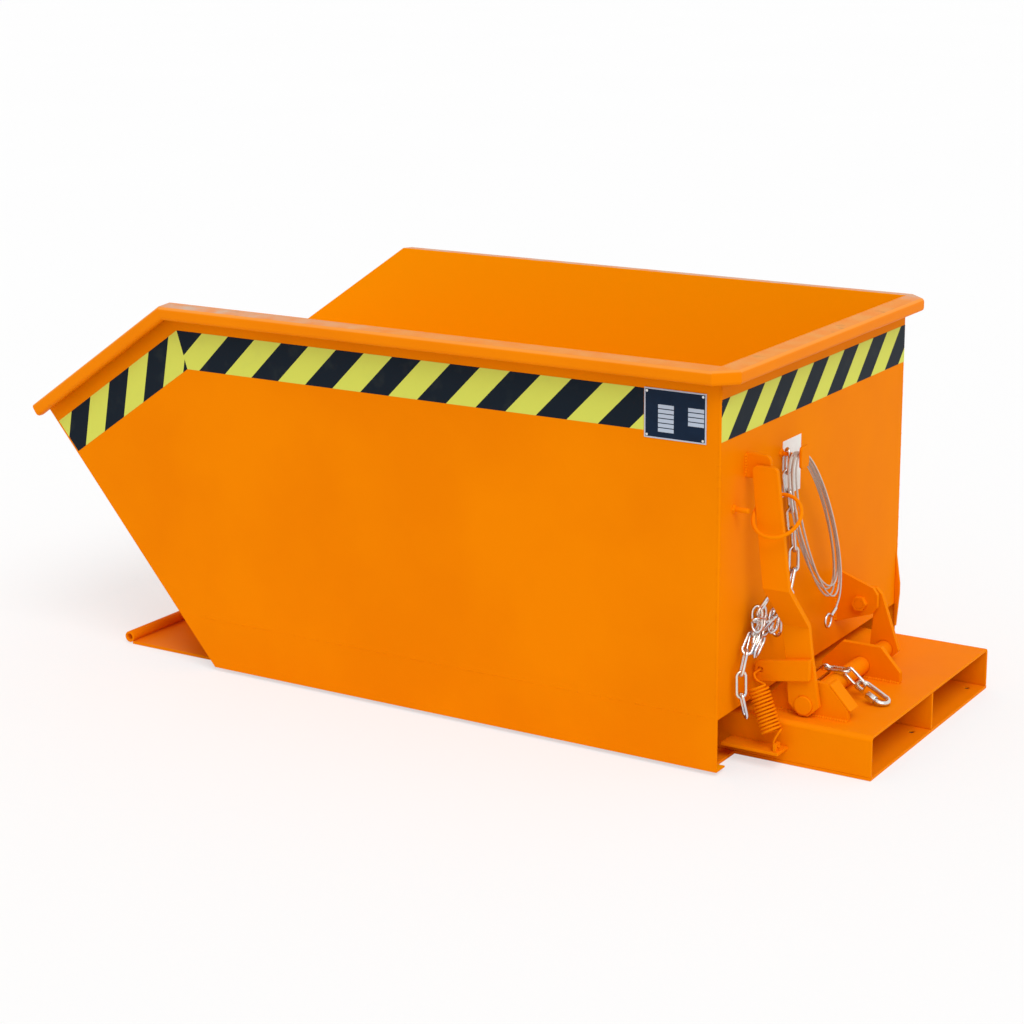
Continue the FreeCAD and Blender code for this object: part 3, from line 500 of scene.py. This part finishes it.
# %% How the paint wears
# A noise is given by its scale and its detail, and a ramp by where it starts and ends.
CLOUDS = 5.0, 3.0
CLOUD_RAMP = 0.35, 0.65
UP_RAMP = 0.95, 0.995
DUST_AND_SHEEN_NOISE = 30.0, 5.0
DUST_AND_SHEEN_RAMP = 0.2, 0.7
SCUFFS = 14.0, 6.0
SCUFF_RAMP = 0.62, 0.72
SCUFF_SHARE = 0.6
FAR_RAMP = 0.30, 0.34
FRONT_RAMP = -0.95, -0.55
# The painted fold highlight: which faces it covers, and how strong it is.
FOLD_HIGHLIGHT_RAMP = 0.3, 0.6
FOLD_HIGHLIGHT_SHARE = 0.4
PEEL = 420, 1.0
PEEL_DEPTH = 0.00012
PEEL_STRENGTH = 0.35
COAT_ROUGHNESS = 0.36
CLOUD_ROUGHNESS = 0.08
DUST_AND_SHEEN_ROUGHNESS = 0.15
SKIP_MIDDLE = (-0.55, 0, 0.4)


def orange_paint(name, wear_and_sheen_share, gloss, inside_lit=False):
    """Powder coat: dust, a painted sky reflection and scuffs on faces that look up, a painted highlight on
    the folds, and painted light on faces that look inwards.
    """
    paint = Finish(name)
    clouds = paint.noise(*CLOUDS).ramp(*CLOUD_RAMP)
    coat = paint.mix(clouds, PAINT_DEEP, PAINT)
    if inside_lit:
        # Painted light: faces that look into the skip take the lighter tone.
        inward = paint.vector("SUBTRACT", SKIP_MIDDLE, paint.place())
        looks_in = paint.vector("DOT_PRODUCT", inward, paint.facing(), out="Value") > 0
        coat = paint.mix(looks_in, coat, PAINT_INSIDE_LIT)
    skyward = paint.axis(paint.facing(), "Z")
    up = skyward.ramp(*UP_RAMP)
    # Dust on faces that look up, partly a painted reflection of the pale sky.
    dust_and_sheen = up * paint.noise(*DUST_AND_SHEEN_NOISE).ramp(*DUST_AND_SHEEN_RAMP) * wear_and_sheen_share
    scuffs = up * paint.noise(*SCUFFS).ramp(*SCUFF_RAMP) * wear_and_sheen_share * SCUFF_SHARE
    far = paint.axis(paint.place(), "Y").ramp(*FAR_RAMP)
    front = 1 - paint.axis(paint.place(), "X").ramp(*FRONT_RAMP)
    dust_and_sheen_tone = paint.mix((far + front).ramp(0, 1), PAINT_DUST_AND_SHEEN, PAINT_GREY_DUST_AND_SHEEN)
    # A painted highlight where a rounded fold turns up and out.
    fold_highlight = skyward.ramp(*FOLD_HIGHLIGHT_RAMP) * (1 - up) * wear_and_sheen_share * FOLD_HIGHLIGHT_SHARE
    fold_highlighted = paint.mix(fold_highlight, coat, PAINT_FOLD_HIGHLIGHT)
    worn = paint.mix(scuffs, paint.mix(dust_and_sheen, fold_highlighted, dust_and_sheen_tone), PAINT_SCUFF)
    peel = paint.bump(paint.noise(*PEEL), PEEL_DEPTH, PEEL_STRENGTH)
    rough = COAT_ROUGHNESS + clouds * CLOUD_ROUGHNESS + dust_and_sheen * DUST_AND_SHEEN_ROUGHNESS
    return paint.shade(Base_Color=worn, Normal=peel, Roughness=rough, Specular_IOR_Level=gloss)


paint_plain = orange_paint("orange_paint", wear_and_sheen_share=0.03, gloss=0.008)
paint_inside_lit = orange_paint("inside_lit_paint", wear_and_sheen_share=0.0, gloss=0.008, inside_lit=True)
paint_rim = orange_paint("rim_paint", wear_and_sheen_share=0.85, gloss=0.03)
print("paints", paint_plain.name, paint_inside_lit.name, paint_rim.name)

# %% [markdown]
# ## Zinc, bare steel and rope sheath
# The chain and the quick link are bright zinc: nearly a mirror, with a faint blue and yellow cast that
# wanders. The rope is steel strands seen through a clear sheath, so stripes wind round it.

# %% Zinc and bare steel
ZINC_TONES = colour(205, 208, 214), colour(226, 220, 208)
ZINC_SHEEN = 60.0, 3.0
SHEEN_RAMP = 0.35, 0.65
ZINC_ROUGHNESS = 0.16
ZINC_SPREAD = 0.14
STEEL_TONES = colour(120, 116, 110), colour(170, 168, 164)
DRAWN_LINES = 900.0, 2.0
DRAWN_STRETCH = (1, 0.02, 1)
STEEL_ROUGHNESS = 0.3
STEEL_SPREAD = 0.25


def bright_zinc():
    """Bright zinc plate with a wandering sheen."""
    zinc = Finish("bright_zinc")
    sheen = zinc.noise(*ZINC_SHEEN).ramp(*SHEEN_RAMP)
    tone = zinc.mix(sheen, *ZINC_TONES)
    rough = ZINC_ROUGHNESS + sheen * ZINC_SPREAD
    return zinc.shade(Base_Color=tone, Metallic=1.0, Roughness=rough)


def bare_steel():
    """Drawn bar with fine lines along its length and a little tarnish."""
    steel = Finish("bare_steel")
    lines = steel.noise(*DRAWN_LINES, stretch=DRAWN_STRETCH)
    tone = steel.mix(lines, *STEEL_TONES)
    rough = STEEL_ROUGHNESS + lines * STEEL_SPREAD
    return steel.shade(Base_Color=tone, Metallic=1.0, Roughness=rough)


zinc_plate = bright_zinc()
steel_bar = bare_steel()
print("metals", zinc_plate.name, steel_bar.name)

# %% Rope sheath
ROPE_STRANDS = 6
STRAND_TURNS = 330
STRAND_TONES = colour(150, 145, 136), colour(222, 216, 206)
STRAND_DEPTH = 0.0002
STRAND_STRENGTH = 0.4
SHEATH_ROUGHNESS = 0.34


def rope_sheath():
    """Grey strands that wind under a clear sheath."""
    sheath = Finish("rope_sheath")
    round_it = sheath.node("ShaderNodeTexCoord", out="UV")
    length = sheath.axis(round_it, "X")
    turn = sheath.axis(round_it, "Y")
    lay = (turn * ROPE_STRANDS + length * STRAND_TURNS) * (2 * math.pi)
    strand = lay.wave() * 0.5 + 0.5
    tone = sheath.mix(strand, *STRAND_TONES)
    ridges = sheath.bump(strand, STRAND_DEPTH, STRAND_STRENGTH)
    return sheath.shade(Base_Color=tone, Roughness=SHEATH_ROUGHNESS, Normal=ridges)


rope.data.materials.append(rope_sheath())
spring.data.materials.append(paint_plain)
print("rope and spring finished")

# %% [markdown]
# ## Folded rim
# The real rim is one sheet edge, folded out and down over a press brake, mitred at each bend and closed
# with a short chamfer at the rear corners. A box with bevels would do from afar. Here the section is
# drawn once, its corners are rounded, and it is extruded from mitre to mitre round the skip: the way
# that the sheet itself runs.

# %% The rim's runs
WALL_OUT = 0.345
WALL_TOP = 0.642
LIP = Vector((-1.342, 0, 0.440))
BEND = Vector((-1.045, 0, WALL_TOP))

slope_run = (BEND - LIP).normalized()
slope_up = Vector((-slope_run.z, 0, slope_run.x))
back_run = Vector((1, 0, 0))
rim_runs = [
    (slope_run, BEND, slope_run + back_run),
    (back_run, Vector((0, 0, 0)), back_run),
    (Vector((1, 1, 0)), Vector((0, -WALL_OUT, 0)), Vector((0, 1, 0))),
    (Vector((0, 1, 0)), Vector((0, WALL_OUT, 0)), Vector((0, 1, 0))),
    (Vector((-1, 1, 0)), Vector((0, 0, 0)), back_run),
    (-back_run, BEND, slope_run + back_run),
    (-slope_run, LIP, slope_run),
]
print("runs of the rim", len(rim_runs))

# %% Extrude the rim
RIM_OUT = 0.033
RIM_FALL = 0.0025
RIM_FACE = 0.022
RIM_RETURN = 0.014
RIM_ROUND = 0.006
ROUND_SEGMENTS = 4
MITRE_SLACK = 1e-6
MERGE_REACH = 1e-5

rim_mesh = bmesh.new()
rim_corners = [(0, 0), (RIM_OUT, -RIM_FALL), (RIM_OUT, -RIM_FALL - RIM_FACE),
               (RIM_OUT - RIM_RETURN, -RIM_FALL - RIM_FACE)]
rim_verts = [rim_mesh.verts.new(LIP + Vector((0, -WALL_OUT - out, 0)) + slope_up * down)
             for out, down in rim_corners]
for first, second in zip(rim_verts, rim_verts[1:]):
    rim_mesh.edges.new((first, second))
bmesh.ops.bevel(rim_mesh, geom=rim_verts[1:3], offset=RIM_ROUND, affect="VERTICES",
                segments=ROUND_SEGMENTS, profile=0.5, material=-1)
section = list(rim_mesh.edges)
for way, spot, square in rim_runs:
    grown = bmesh.ops.extrude_edge_only(rim_mesh, edges=section)["geom"]
    for vert in grown:
        if isinstance(vert, bmesh.types.BMVert):
            vert.co += way * ((spot - vert.co).dot(square) / way.dot(square))
    section = [edge for edge in grown if isinstance(edge, bmesh.types.BMEdge)
               and all(abs((end.co - spot).dot(square)) < MITRE_SLACK for end in edge.verts)]
    for edge in section:
        edge.smooth = False
bmesh.ops.remove_doubles(rim_mesh, verts=rim_mesh.verts, dist=MERGE_REACH)
bmesh.ops.recalc_face_normals(rim_mesh, faces=rim_mesh.faces)
rim_mesh.normal_update()
if max(rim_mesh.faces, key=lambda face: face.calc_area()).normal.z < 0:
    bmesh.ops.reverse_faces(rim_mesh, faces=rim_mesh.faces)
rim = make_object("folded_rim", rim_mesh)
print("rim faces", len(rim.data.polygons))

# %% Give the rim its sheet
RIM_SHEET = 0.003

wall = rim.modifiers.new("sheet", "SOLIDIFY")
wall.thickness = RIM_SHEET
wall.offset = -1
wall.use_even_offset = True
flat_shading = rim.modifiers.new("flat_shading", "WEIGHTED_NORMAL")
flat_shading.keep_sharp = True
rim.data.materials.append(paint_rim)
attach(rim, "skip")
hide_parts("rim_near", "rim_far", "rim_rear", "rim_corner_near", "rim_corner_far")
print("rim sheet", RIM_SHEET)

# %% [markdown]
# ## Weld beads
# Brackets, stops and hooks are welded on, and paint doesn't hide the ripples. A bead could be a bump in
# the paint, but its outline matters where plates meet, so each seam is a row of small balls that
# overlap, with a little difference in size, as drops of metal have. The skip's sheets are welded along
# their inner corners too, and the hinge lugs along the chute.

# %% Drops and seams
BEAD = 0.0038
BEAD_STEP_SHARE = 1.1
BEAD_SIZE_SHARES = 0.85, 1.1
BEAD_SEED = 11
DECK_TOP = 0.072
bead_sizes = random.Random(BEAD_SEED)


def add_bead(mesh, spot):
    """One drop of weld metal."""
    size = BEAD * bead_sizes.uniform(*BEAD_SIZE_SHARES)
    bmesh.ops.create_icosphere(mesh, subdivisions=1, radius=size, matrix=Matrix.Translation(spot))


def seam(mesh, start, end):
    """A row of drops from one point to another."""
    start, end = Vector(start), Vector(end)
    count = max(2, int((end - start).length / (BEAD * BEAD_STEP_SHARE)))
    for i in range(count + 1):
        add_bead(mesh, start.lerp(end, i / count))


def foot_seams(mesh, name):
    """Both long seams where a standing plate meets the deck."""
    low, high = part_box(name)
    for y in (low.y, high.y):
        seam(mesh, (low.x + BEAD, y, DECK_TOP), (high.x - BEAD, y, DECK_TOP))


def wall_seams(mesh, name):
    """Both upright seams where a plate meets the rear wall."""
    low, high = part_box(name)
    for y in (low.y, high.y):
        seam(mesh, (0, y, low.z + BEAD), (0, y, high.z - BEAD))


def collar(mesh, middle, radius):
    """A ring of drops round a bar on the rear wall."""
    count = int(2 * math.pi * radius / (BEAD * BEAD_STEP_SHARE))
    for i in range(count):
        turn = 2 * math.pi * i / count
        spot = Vector((0, middle.y + radius * math.cos(turn), middle.z + radius * math.sin(turn)))
        add_bead(mesh, spot)


print("drops of", BEAD)

# %% Seams of the brackets
COLLAR_SHARE = 0.7

base_welds = bmesh.new()
for name in ("latch_bracket_near", "latch_bracket_centre"):
    foot_seams(base_welds, name)
skip_welds = bmesh.new()
wall_seams(skip_welds, "lever_keeper")
wall_seams(skip_welds, "catch_bracket")
stub_low, stub_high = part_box("ring_stub")
collar(skip_welds, (stub_low + stub_high) / 2, (stub_high.y - stub_low.y) / 2)
collar(skip_welds, Vector((0, hook_y, neck_z + NECK_THICK / 2)), NECK_THICK * COLLAR_SHARE)
print("corners of the drops", len(base_welds.verts), "on the base,", len(skip_welds.verts), "on the skip")

# %% Seams of the skip's own sheets
CHUTE_SLICE = 0.0039

floor_low, floor_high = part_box("floor_panel")
chute_low, chute_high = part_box("chute_panel")
rear_low, rear_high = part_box("rear_wall")
for side in (floor_low.y, floor_high.y):
    toe = Vector((floor_low.x, side, floor_high.z))
    heel = Vector((rear_low.x, side, floor_high.z))
    lip = Vector((chute_low.x + CHUTE_SLICE + BEAD, side, chute_high.z - BEAD))
    seam(skip_welds, heel, toe)
    seam(skip_welds, toe, lip)
    seam(skip_welds, heel, (heel.x, side, rear_high.z - 2 * BEAD))
seam(skip_welds, (heel.x, floor_low.y, heel.z), heel)
for name in ("hinge_lug_near", "hinge_lug_far"):
    low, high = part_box(name)
    for y in (low.y, high.y):
        foot = Vector((chute_high.x - CHUTE_SLICE, y, chute_low.z))
        lip = Vector((chute_low.x, y, chute_high.z))
        seam(skip_welds, foot, foot.lerp(lip, (high.z - BEAD - foot.z) / (lip.z - foot.z)))

weld_rows = [
    ("base_welds", "base", base_welds, paint_plain),
    ("skip_welds", "skip", skip_welds, paint_inside_lit),
]
for name, body, mesh, finish in weld_rows:
    welds = make_object(name, mesh)
    welds.data.materials.append(finish)
    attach(welds, body)
    print(name, len(welds.data.polygons), "faces")

# %% [markdown]
# ## Tangled chain and sleeve nut
# Spare chain lies tangled where it drapes past the lever. Each link is bent bar, so it is the same tube
# again, closed on itself this time. The sleeve nut of the quick link is hexagonal: a six-sided ring with
# a round bore, bridged, extruded and eased along its edges.

# %% Tangled chain
LINK_HALF = 0.0225
LINK_WIDE = 0.010
LINK_WIRE = 0.0025
LINK_ROUNDNESS = 1
BOW_SHARE = 1.1
SHOULDER_SHARE = 1.15
BULGE_SHARE = 1.05
TANGLE = [
    ((0.021, -0.219, 0.256), (0.019, -0.249, 0.240), (0.4, 0.2, 1)),
    ((0.016, -0.246, 0.248), (0.022, -0.258, 0.214), (1, 0.4, 0)),
    ((0.024, -0.197, 0.233), (0.026, -0.217, 0.202), (1, 0.3, 0)),
    ((0.026, -0.276, 0.238), (0.020, -0.240, 0.226), (1, 0, 0.6)),
    ((0.016, -0.226, 0.243), (0.020, -0.243, 0.212), (0.2, 1, 0.3)),
    ((0.018, -0.236, 0.216), (0.022, -0.262, 0.186), (0.3, 1, 0)),
    ((0.027, -0.238, 0.204), (0.025, -0.274, 0.174), (0.1, 0.4, 1)),
    ((0.015, -0.246, 0.212), (0.017, -0.270, 0.180), (1, 0.1, 0.2)),
    ((0.023, -0.204, 0.214), (0.019, -0.236, 0.198), (0.3, 0, 1)),
    ((0.0128, -0.1699, 0.2218), (0.0128, -0.1699, 0.1768), (1, 0, 0)),
]


def chain_link(top, low, across):
    """A closed oval link between two points, wide along one direction."""
    along = (Vector(low) - Vector(top)).normalized()
    flat = (Vector(across) - along * along.dot(Vector(across))).normalized()
    wide = flat * (LINK_WIDE - LINK_WIRE)
    bow = along * (LINK_HALF - LINK_WIRE) * BOW_SHARE
    shoulder = along * (LINK_HALF - LINK_WIDE) * SHOULDER_SHARE
    bulge = wide * BULGE_SHARE
    middle = (Vector(top) + Vector(low)) / 2
    half = [bow, shoulder + bulge, wide, bulge - shoulder]
    points = [middle + step for step in half] + [middle - step for step in half]
    return tube("tangle_link", points, LINK_WIRE, LINK_ROUNDNESS, closed=True)[0]


tangle_mesh = bmesh.new()
for top, low, across in TANGLE:
    link = chain_link(top, low, across)
    tangle_mesh.from_mesh(link.data)
    bpy.data.objects.remove(link)
tangle = make_object("tangled_chain", tangle_mesh)
tangle.data.materials.append(zinc_plate)
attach(tangle, "skip")
print("tangle links", len(TANGLE), "faces", len(tangle.data.polygons))

# %% Sleeve nut
SLEEVE_SIDES = 6
SIDE_CUTS = 3
SLEEVE_CORNER = 0.0072
SLEEVE_BORE = 0.0041
SLEEVE_LONG = 0.017
SLEEVE_EASE = 0.0008
SHARP_ANGLE = 0.8
SLEEVE_WAY = Vector((72, -24, -24)).normalized()

sleeve_low, sleeve_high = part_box("quick_link_sleeve")
sleeve_mesh = bmesh.new()
bmesh.ops.create_circle(sleeve_mesh, segments=SLEEVE_SIDES, radius=SLEEVE_CORNER)
bmesh.ops.subdivide_edges(sleeve_mesh, edges=list(sleeve_mesh.edges), cuts=SIDE_CUTS)
bmesh.ops.create_circle(sleeve_mesh, segments=SLEEVE_SIDES * (SIDE_CUTS + 1), radius=SLEEVE_BORE)
bmesh.ops.bridge_loops(sleeve_mesh, edges=list(sleeve_mesh.edges))
lower = list(sleeve_mesh.faces)
raised = bmesh.ops.extrude_face_region(sleeve_mesh, geom=lower, use_keep_orig=True)["geom"]
raised_verts = [part for part in raised if isinstance(part, bmesh.types.BMVert)]
bmesh.ops.translate(sleeve_mesh, verts=raised_verts, vec=(0, 0, SLEEVE_LONG))
bmesh.ops.translate(sleeve_mesh, verts=sleeve_mesh.verts, vec=(0, 0, -SLEEVE_LONG / 2))
bmesh.ops.recalc_face_normals(sleeve_mesh, faces=sleeve_mesh.faces)
sharp = [edge for edge in sleeve_mesh.edges
         if len(edge.link_faces) == 2 and edge.calc_face_angle() > SHARP_ANGLE]
bmesh.ops.bevel(sleeve_mesh, geom=sharp, offset=SLEEVE_EASE, affect="EDGES", segments=2, profile=0.5,
                material=-1)
turn = SLEEVE_WAY.to_track_quat("Z", "Y").to_matrix().to_4x4()
bmesh.ops.transform(sleeve_mesh, matrix=Matrix.Translation((sleeve_low + sleeve_high) / 2) @ turn,
                    verts=sleeve_mesh.verts)
sleeve = make_object("sleeve_nut", sleeve_mesh)
sleeve.data.materials.append(zinc_plate)
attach(sleeve, "link_sleeve")
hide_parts("quick_link_sleeve")
print("sleeve faces", len(sleeve.data.polygons))

# %% [markdown]
# ## Painted shade in the drain holes
# Water leaves the fork pockets through four drilled holes. A small dark domed plug sits at the foot of
# each hole: painted shade that makes the hole read dark, as a deep hole does.

# %% Painted shade in the drains
DRAIN_X = 0.188
DRAIN_ACROSS = 0.0265, 0.2145
PLUG_RADIUS = 0.0048
PLUG_RISE = 0.0022
PLUG_FLAT_SHARE = 0.3
# Dark tones of the painted shade in the holes, with a crumbly grain.
DRAIN_SHADE_TONES = colour(34, 8, 2), colour(60, 18, 6)
DRAIN_SHADE_GRAIN = 900.0, 4.0
DRAIN_SHADE_DEPTH = 0.0004
DRAIN_SHADE_STRENGTH = 0.6
DRAIN_SHADE_ROUGHNESS = 0.9

drain_spots = [(DRAIN_X, side * across, PLUG_RISE) for side in (-1, 1) for across in DRAIN_ACROSS]
# Dark plugs of painted shade at the foot of each hole.
drain_shade_mesh = bmesh.new()
for spot in drain_spots:
    plug = Matrix.Translation(spot) @ Matrix.Diagonal((1, 1, PLUG_FLAT_SHARE, 1))
    bmesh.ops.create_icosphere(drain_shade_mesh, subdivisions=2, radius=PLUG_RADIUS, matrix=plug)
drain_shade = make_object("painted_drain_shade", drain_shade_mesh)
drain_shade_finish = Finish("painted_drain_shade")
drain_shade_grain = drain_shade_finish.noise(*DRAIN_SHADE_GRAIN)
drain_shade_tone = drain_shade_finish.mix(drain_shade_grain, *DRAIN_SHADE_TONES)
drain_shade_bump = drain_shade_finish.bump(drain_shade_grain, DRAIN_SHADE_DEPTH, DRAIN_SHADE_STRENGTH)
drain_shade_look = drain_shade_finish.shade(Base_Color=drain_shade_tone, Roughness=DRAIN_SHADE_ROUGHNESS, Normal=drain_shade_bump)
drain_shade.data.materials.append(drain_shade_look)
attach(drain_shade, "base")
print("drain plugs", len(drain_spots))

# %% [markdown]
# ## Hazard tape, rating plate and label
# The tape is printed film with diagonal stripes, leaning to the right on every side. A stripe is a step
# in the distance along one slanted direction. The rating plate is dark with a pale border and two
# columns of boxes, and the label is plain white film.

# %% Hazard tape
STRIPE_PERIOD = 0.1108
REAR_PERIOD = 0.1165
NEAR_START = -1.5723
SLOPE_START = 0.1473
REAR_START = -0.9075
FAR_START = 0.6
FAR_SLOPE_START = 0.1
TAPE_YELLOW = colour(214, 219, 92)
TAPE_BLACK = colour(26, 34, 43)
TAPE_WORN = colour(120, 124, 100)
TAPE_SCUFFS = 26.0, 5.0
TAPE_SCUFF_RAMP = 0.55, 0.75
TAPE_SCUFF_SHARE = 0.06
TAPE_GRAIN = 160.0, 2.0
TAPE_DEPTH = 0.0001
TAPE_STRENGTH = 0.25
TAPE_ROUGHNESS = 0.36
TAPE_SPREAD = 0.8
TAPE_GLOSS = 0.03


def hazard_tape(name, along, up, start, period):
    """Diagonal stripes on film that runs along one direction, with scuffs."""
    tape = Finish(name)
    slant = Vector(along).normalized() - Vector(up).normalized()
    stripe = ((tape.along(slant) - start) / period).fraction() > 0.5
    scuff = tape.noise(*TAPE_SCUFFS).ramp(*TAPE_SCUFF_RAMP) * TAPE_SCUFF_SHARE
    grain = tape.noise(*TAPE_GRAIN)
    printed = tape.mix(stripe, TAPE_YELLOW, TAPE_BLACK)
    worn = tape.mix(scuff, printed, TAPE_WORN)
    rough = TAPE_ROUGHNESS + scuff * TAPE_SPREAD
    return tape.shade(Base_Color=worn, Roughness=rough, Specular_IOR_Level=TAPE_GLOSS,
                      Normal=tape.bump(grain, TAPE_DEPTH, TAPE_STRENGTH))


slope_start = LIP.dot(slope_run - slope_up) + SLOPE_START
tape_looks = {
    "tape_side_near": ((1, 0, 0), (0, 0, 1), NEAR_START, STRIPE_PERIOD),
    "tape_slope_near": (slope_run, slope_up, slope_start, STRIPE_PERIOD),
    "tape_rear": ((0, 1, 0), (0, 0, 1), REAR_START, REAR_PERIOD),
    "tape_side_far": ((-1, 0, 0), (0, 0, 1), FAR_START, STRIPE_PERIOD),
    "tape_slope_far": (slope_run * -1, slope_up, FAR_SLOPE_START, STRIPE_PERIOD),
}


def paint_node(name, material):
    """Give a CAD node its finish."""
    slots = nodes[name].data.materials
    slots.clear()
    slots.append(material)


for tape_name, look in tape_looks.items():
    paint_node(tape_name, hazard_tape(tape_name, *look))
print("runs of tape", len(tape_looks))

# %% Rating plate and label
PLATE_BORDER = 0.0022
PLATE_PALE = colour(186, 192, 204)
PLATE_TONES = colour(10, 26, 46), colour(18, 38, 62)
PLATE_SMUDGE = 90.0, 3.0
PLATE_ROUGHNESS = 0.3
PLATE_SPREAD = 0.2
PLATE_GLOSS = 0.1
BOX_PALE = colour(184, 196, 212)
BOX_PITCH_SHARE = 0.094
BOX_SHARE = 0.80
BOX_TOP_SHARE = 0.315
LEFT_FOOT_SHARE = 0.872
RIGHT_FOOT_SHARE = 0.684
LEFT_SHARES = 0.226, 0.480
RIGHT_SHARES = 0.710, 0.965
LABEL_TONES = colour(226, 222, 214), colour(246, 244, 240)
LABEL_CREASE = 45.0, 3.0
CREASE_DEPTH = 0.0006
CREASE_STRENGTH = 0.3
LABEL_ROUGHNESS = 0.55


def rating_plate():
    """A dark plate with a pale border and two columns of boxes."""
    low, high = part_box("rating_plate")
    plate = Finish("rating_plate")
    spot = plate.place()
    across = (plate.axis(spot, "X") - low.x) / (high.x - low.x)
    down = (high.z - plate.axis(spot, "Z")) / (high.z - low.z)
    edge_x = PLATE_BORDER / (high.x - low.x)
    edge_z = PLATE_BORDER / (high.z - low.z)
    inside = across.between(edge_x, 1 - edge_x) * down.between(edge_z, 1 - edge_z)
    rows = ((down - BOX_TOP_SHARE) / BOX_PITCH_SHARE).fraction() < BOX_SHARE
    left = across.between(*LEFT_SHARES) * down.between(BOX_TOP_SHARE, LEFT_FOOT_SHARE)
    right = across.between(*RIGHT_SHARES) * down.between(BOX_TOP_SHARE, RIGHT_FOOT_SHARE)
    boxes = rows * (left + right)
    smudge = plate.noise(*PLATE_SMUDGE)
    dark = plate.mix(smudge, *PLATE_TONES)
    field = plate.mix(boxes, dark, BOX_PALE)
    face = plate.mix(inside, PLATE_PALE, field)
    rough = PLATE_ROUGHNESS + smudge * PLATE_SPREAD
    return plate.shade(Base_Color=face, Roughness=rough, Specular_IOR_Level=PLATE_GLOSS)


def blank_label():
    """A white film label, a little creased."""
    label = Finish("blank_label")
    crease = label.noise(*LABEL_CREASE)
    tone = label.mix(crease, *LABEL_TONES)
    folds = label.bump(crease, CREASE_DEPTH, CREASE_STRENGTH)
    return label.shade(Base_Color=tone, Roughness=LABEL_ROUGHNESS, Normal=folds)


paint_node("rating_plate", rating_plate())
paint_node("blank_label", blank_label())
print("plate and label made")

# %% [markdown]
# ## Finishes and soft edges for the CAD nodes
# No folded or cut steel edge is a perfect corner. The CAD nodes keep their meshes, and modifiers round
# what shows: Weld joins the loose triangles, a planar Decimate clears the flats, and Bevel rounds each
# edge by the right amount, more on thick cut plate than on thin sheet.

# %% Soft edges
EDGE_SEGMENTS = 2
FLAT_DEGREES = 1
EDGE_DEGREES = 35


def soften(name, width):
    """Round a CAD node's edges with live modifiers."""
    weld = nodes[name].modifiers.new("weld", "WELD")
    weld.merge_threshold = MERGE_REACH
    flats = nodes[name].modifiers.new("flats", "DECIMATE")
    flats.decimate_type = "DISSOLVE"
    flats.angle_limit = math.radians(FLAT_DEGREES)
    edge = nodes[name].modifiers.new("edge", "BEVEL")
    edge.width = width
    edge.segments = EDGE_SEGMENTS
    edge.limit_method = "ANGLE"
    edge.angle_limit = math.radians(EDGE_DEGREES)
    edge.harden_normals = True


print("edges over", EDGE_DEGREES, "degrees are rounded")

# %% Finishes for the CAD nodes
PLATE_EDGE = 0.0012
SHEET_EDGE = 0.0008

sheets = ["side_wall_near", "side_wall_far", "rear_wall", "floor_panel", "chute_panel"]
plates = ["base_floor_plate", "base_deck", "pocket_web", "latch_bracket_near", "latch_bracket_centre",
          "latch_stop", "spring_ledge", "spring_anchor", "floor_bearers", "hinge_lug_near", "hinge_lug_far",
          "latch_lever", "latch_arm", "latch_hook", "catch_bracket", "catch_nut", "rear_gusset",
          "lever_keeper", "ring_stub", "rope_hook", "latch_shaft", "shaft_washers", "catch_pin",
          "front_tubes"]
for name in sheets:
    paint_node(name, paint_inside_lit)
    soften(name, SHEET_EDGE)
for name in plates:
    paint_node(name, paint_plain)
    soften(name, PLATE_EDGE)
paint_node("lock_ring", paint_plain)
for name in ("chain_hanging", "chain_lying", "quick_link", "rope_ferrule", "plate_rivets", "rope_eye"):
    paint_node(name, zinc_plate)
paint_node("hinge_rod", steel_bar)
print("finished", len(nodes), "nodes")
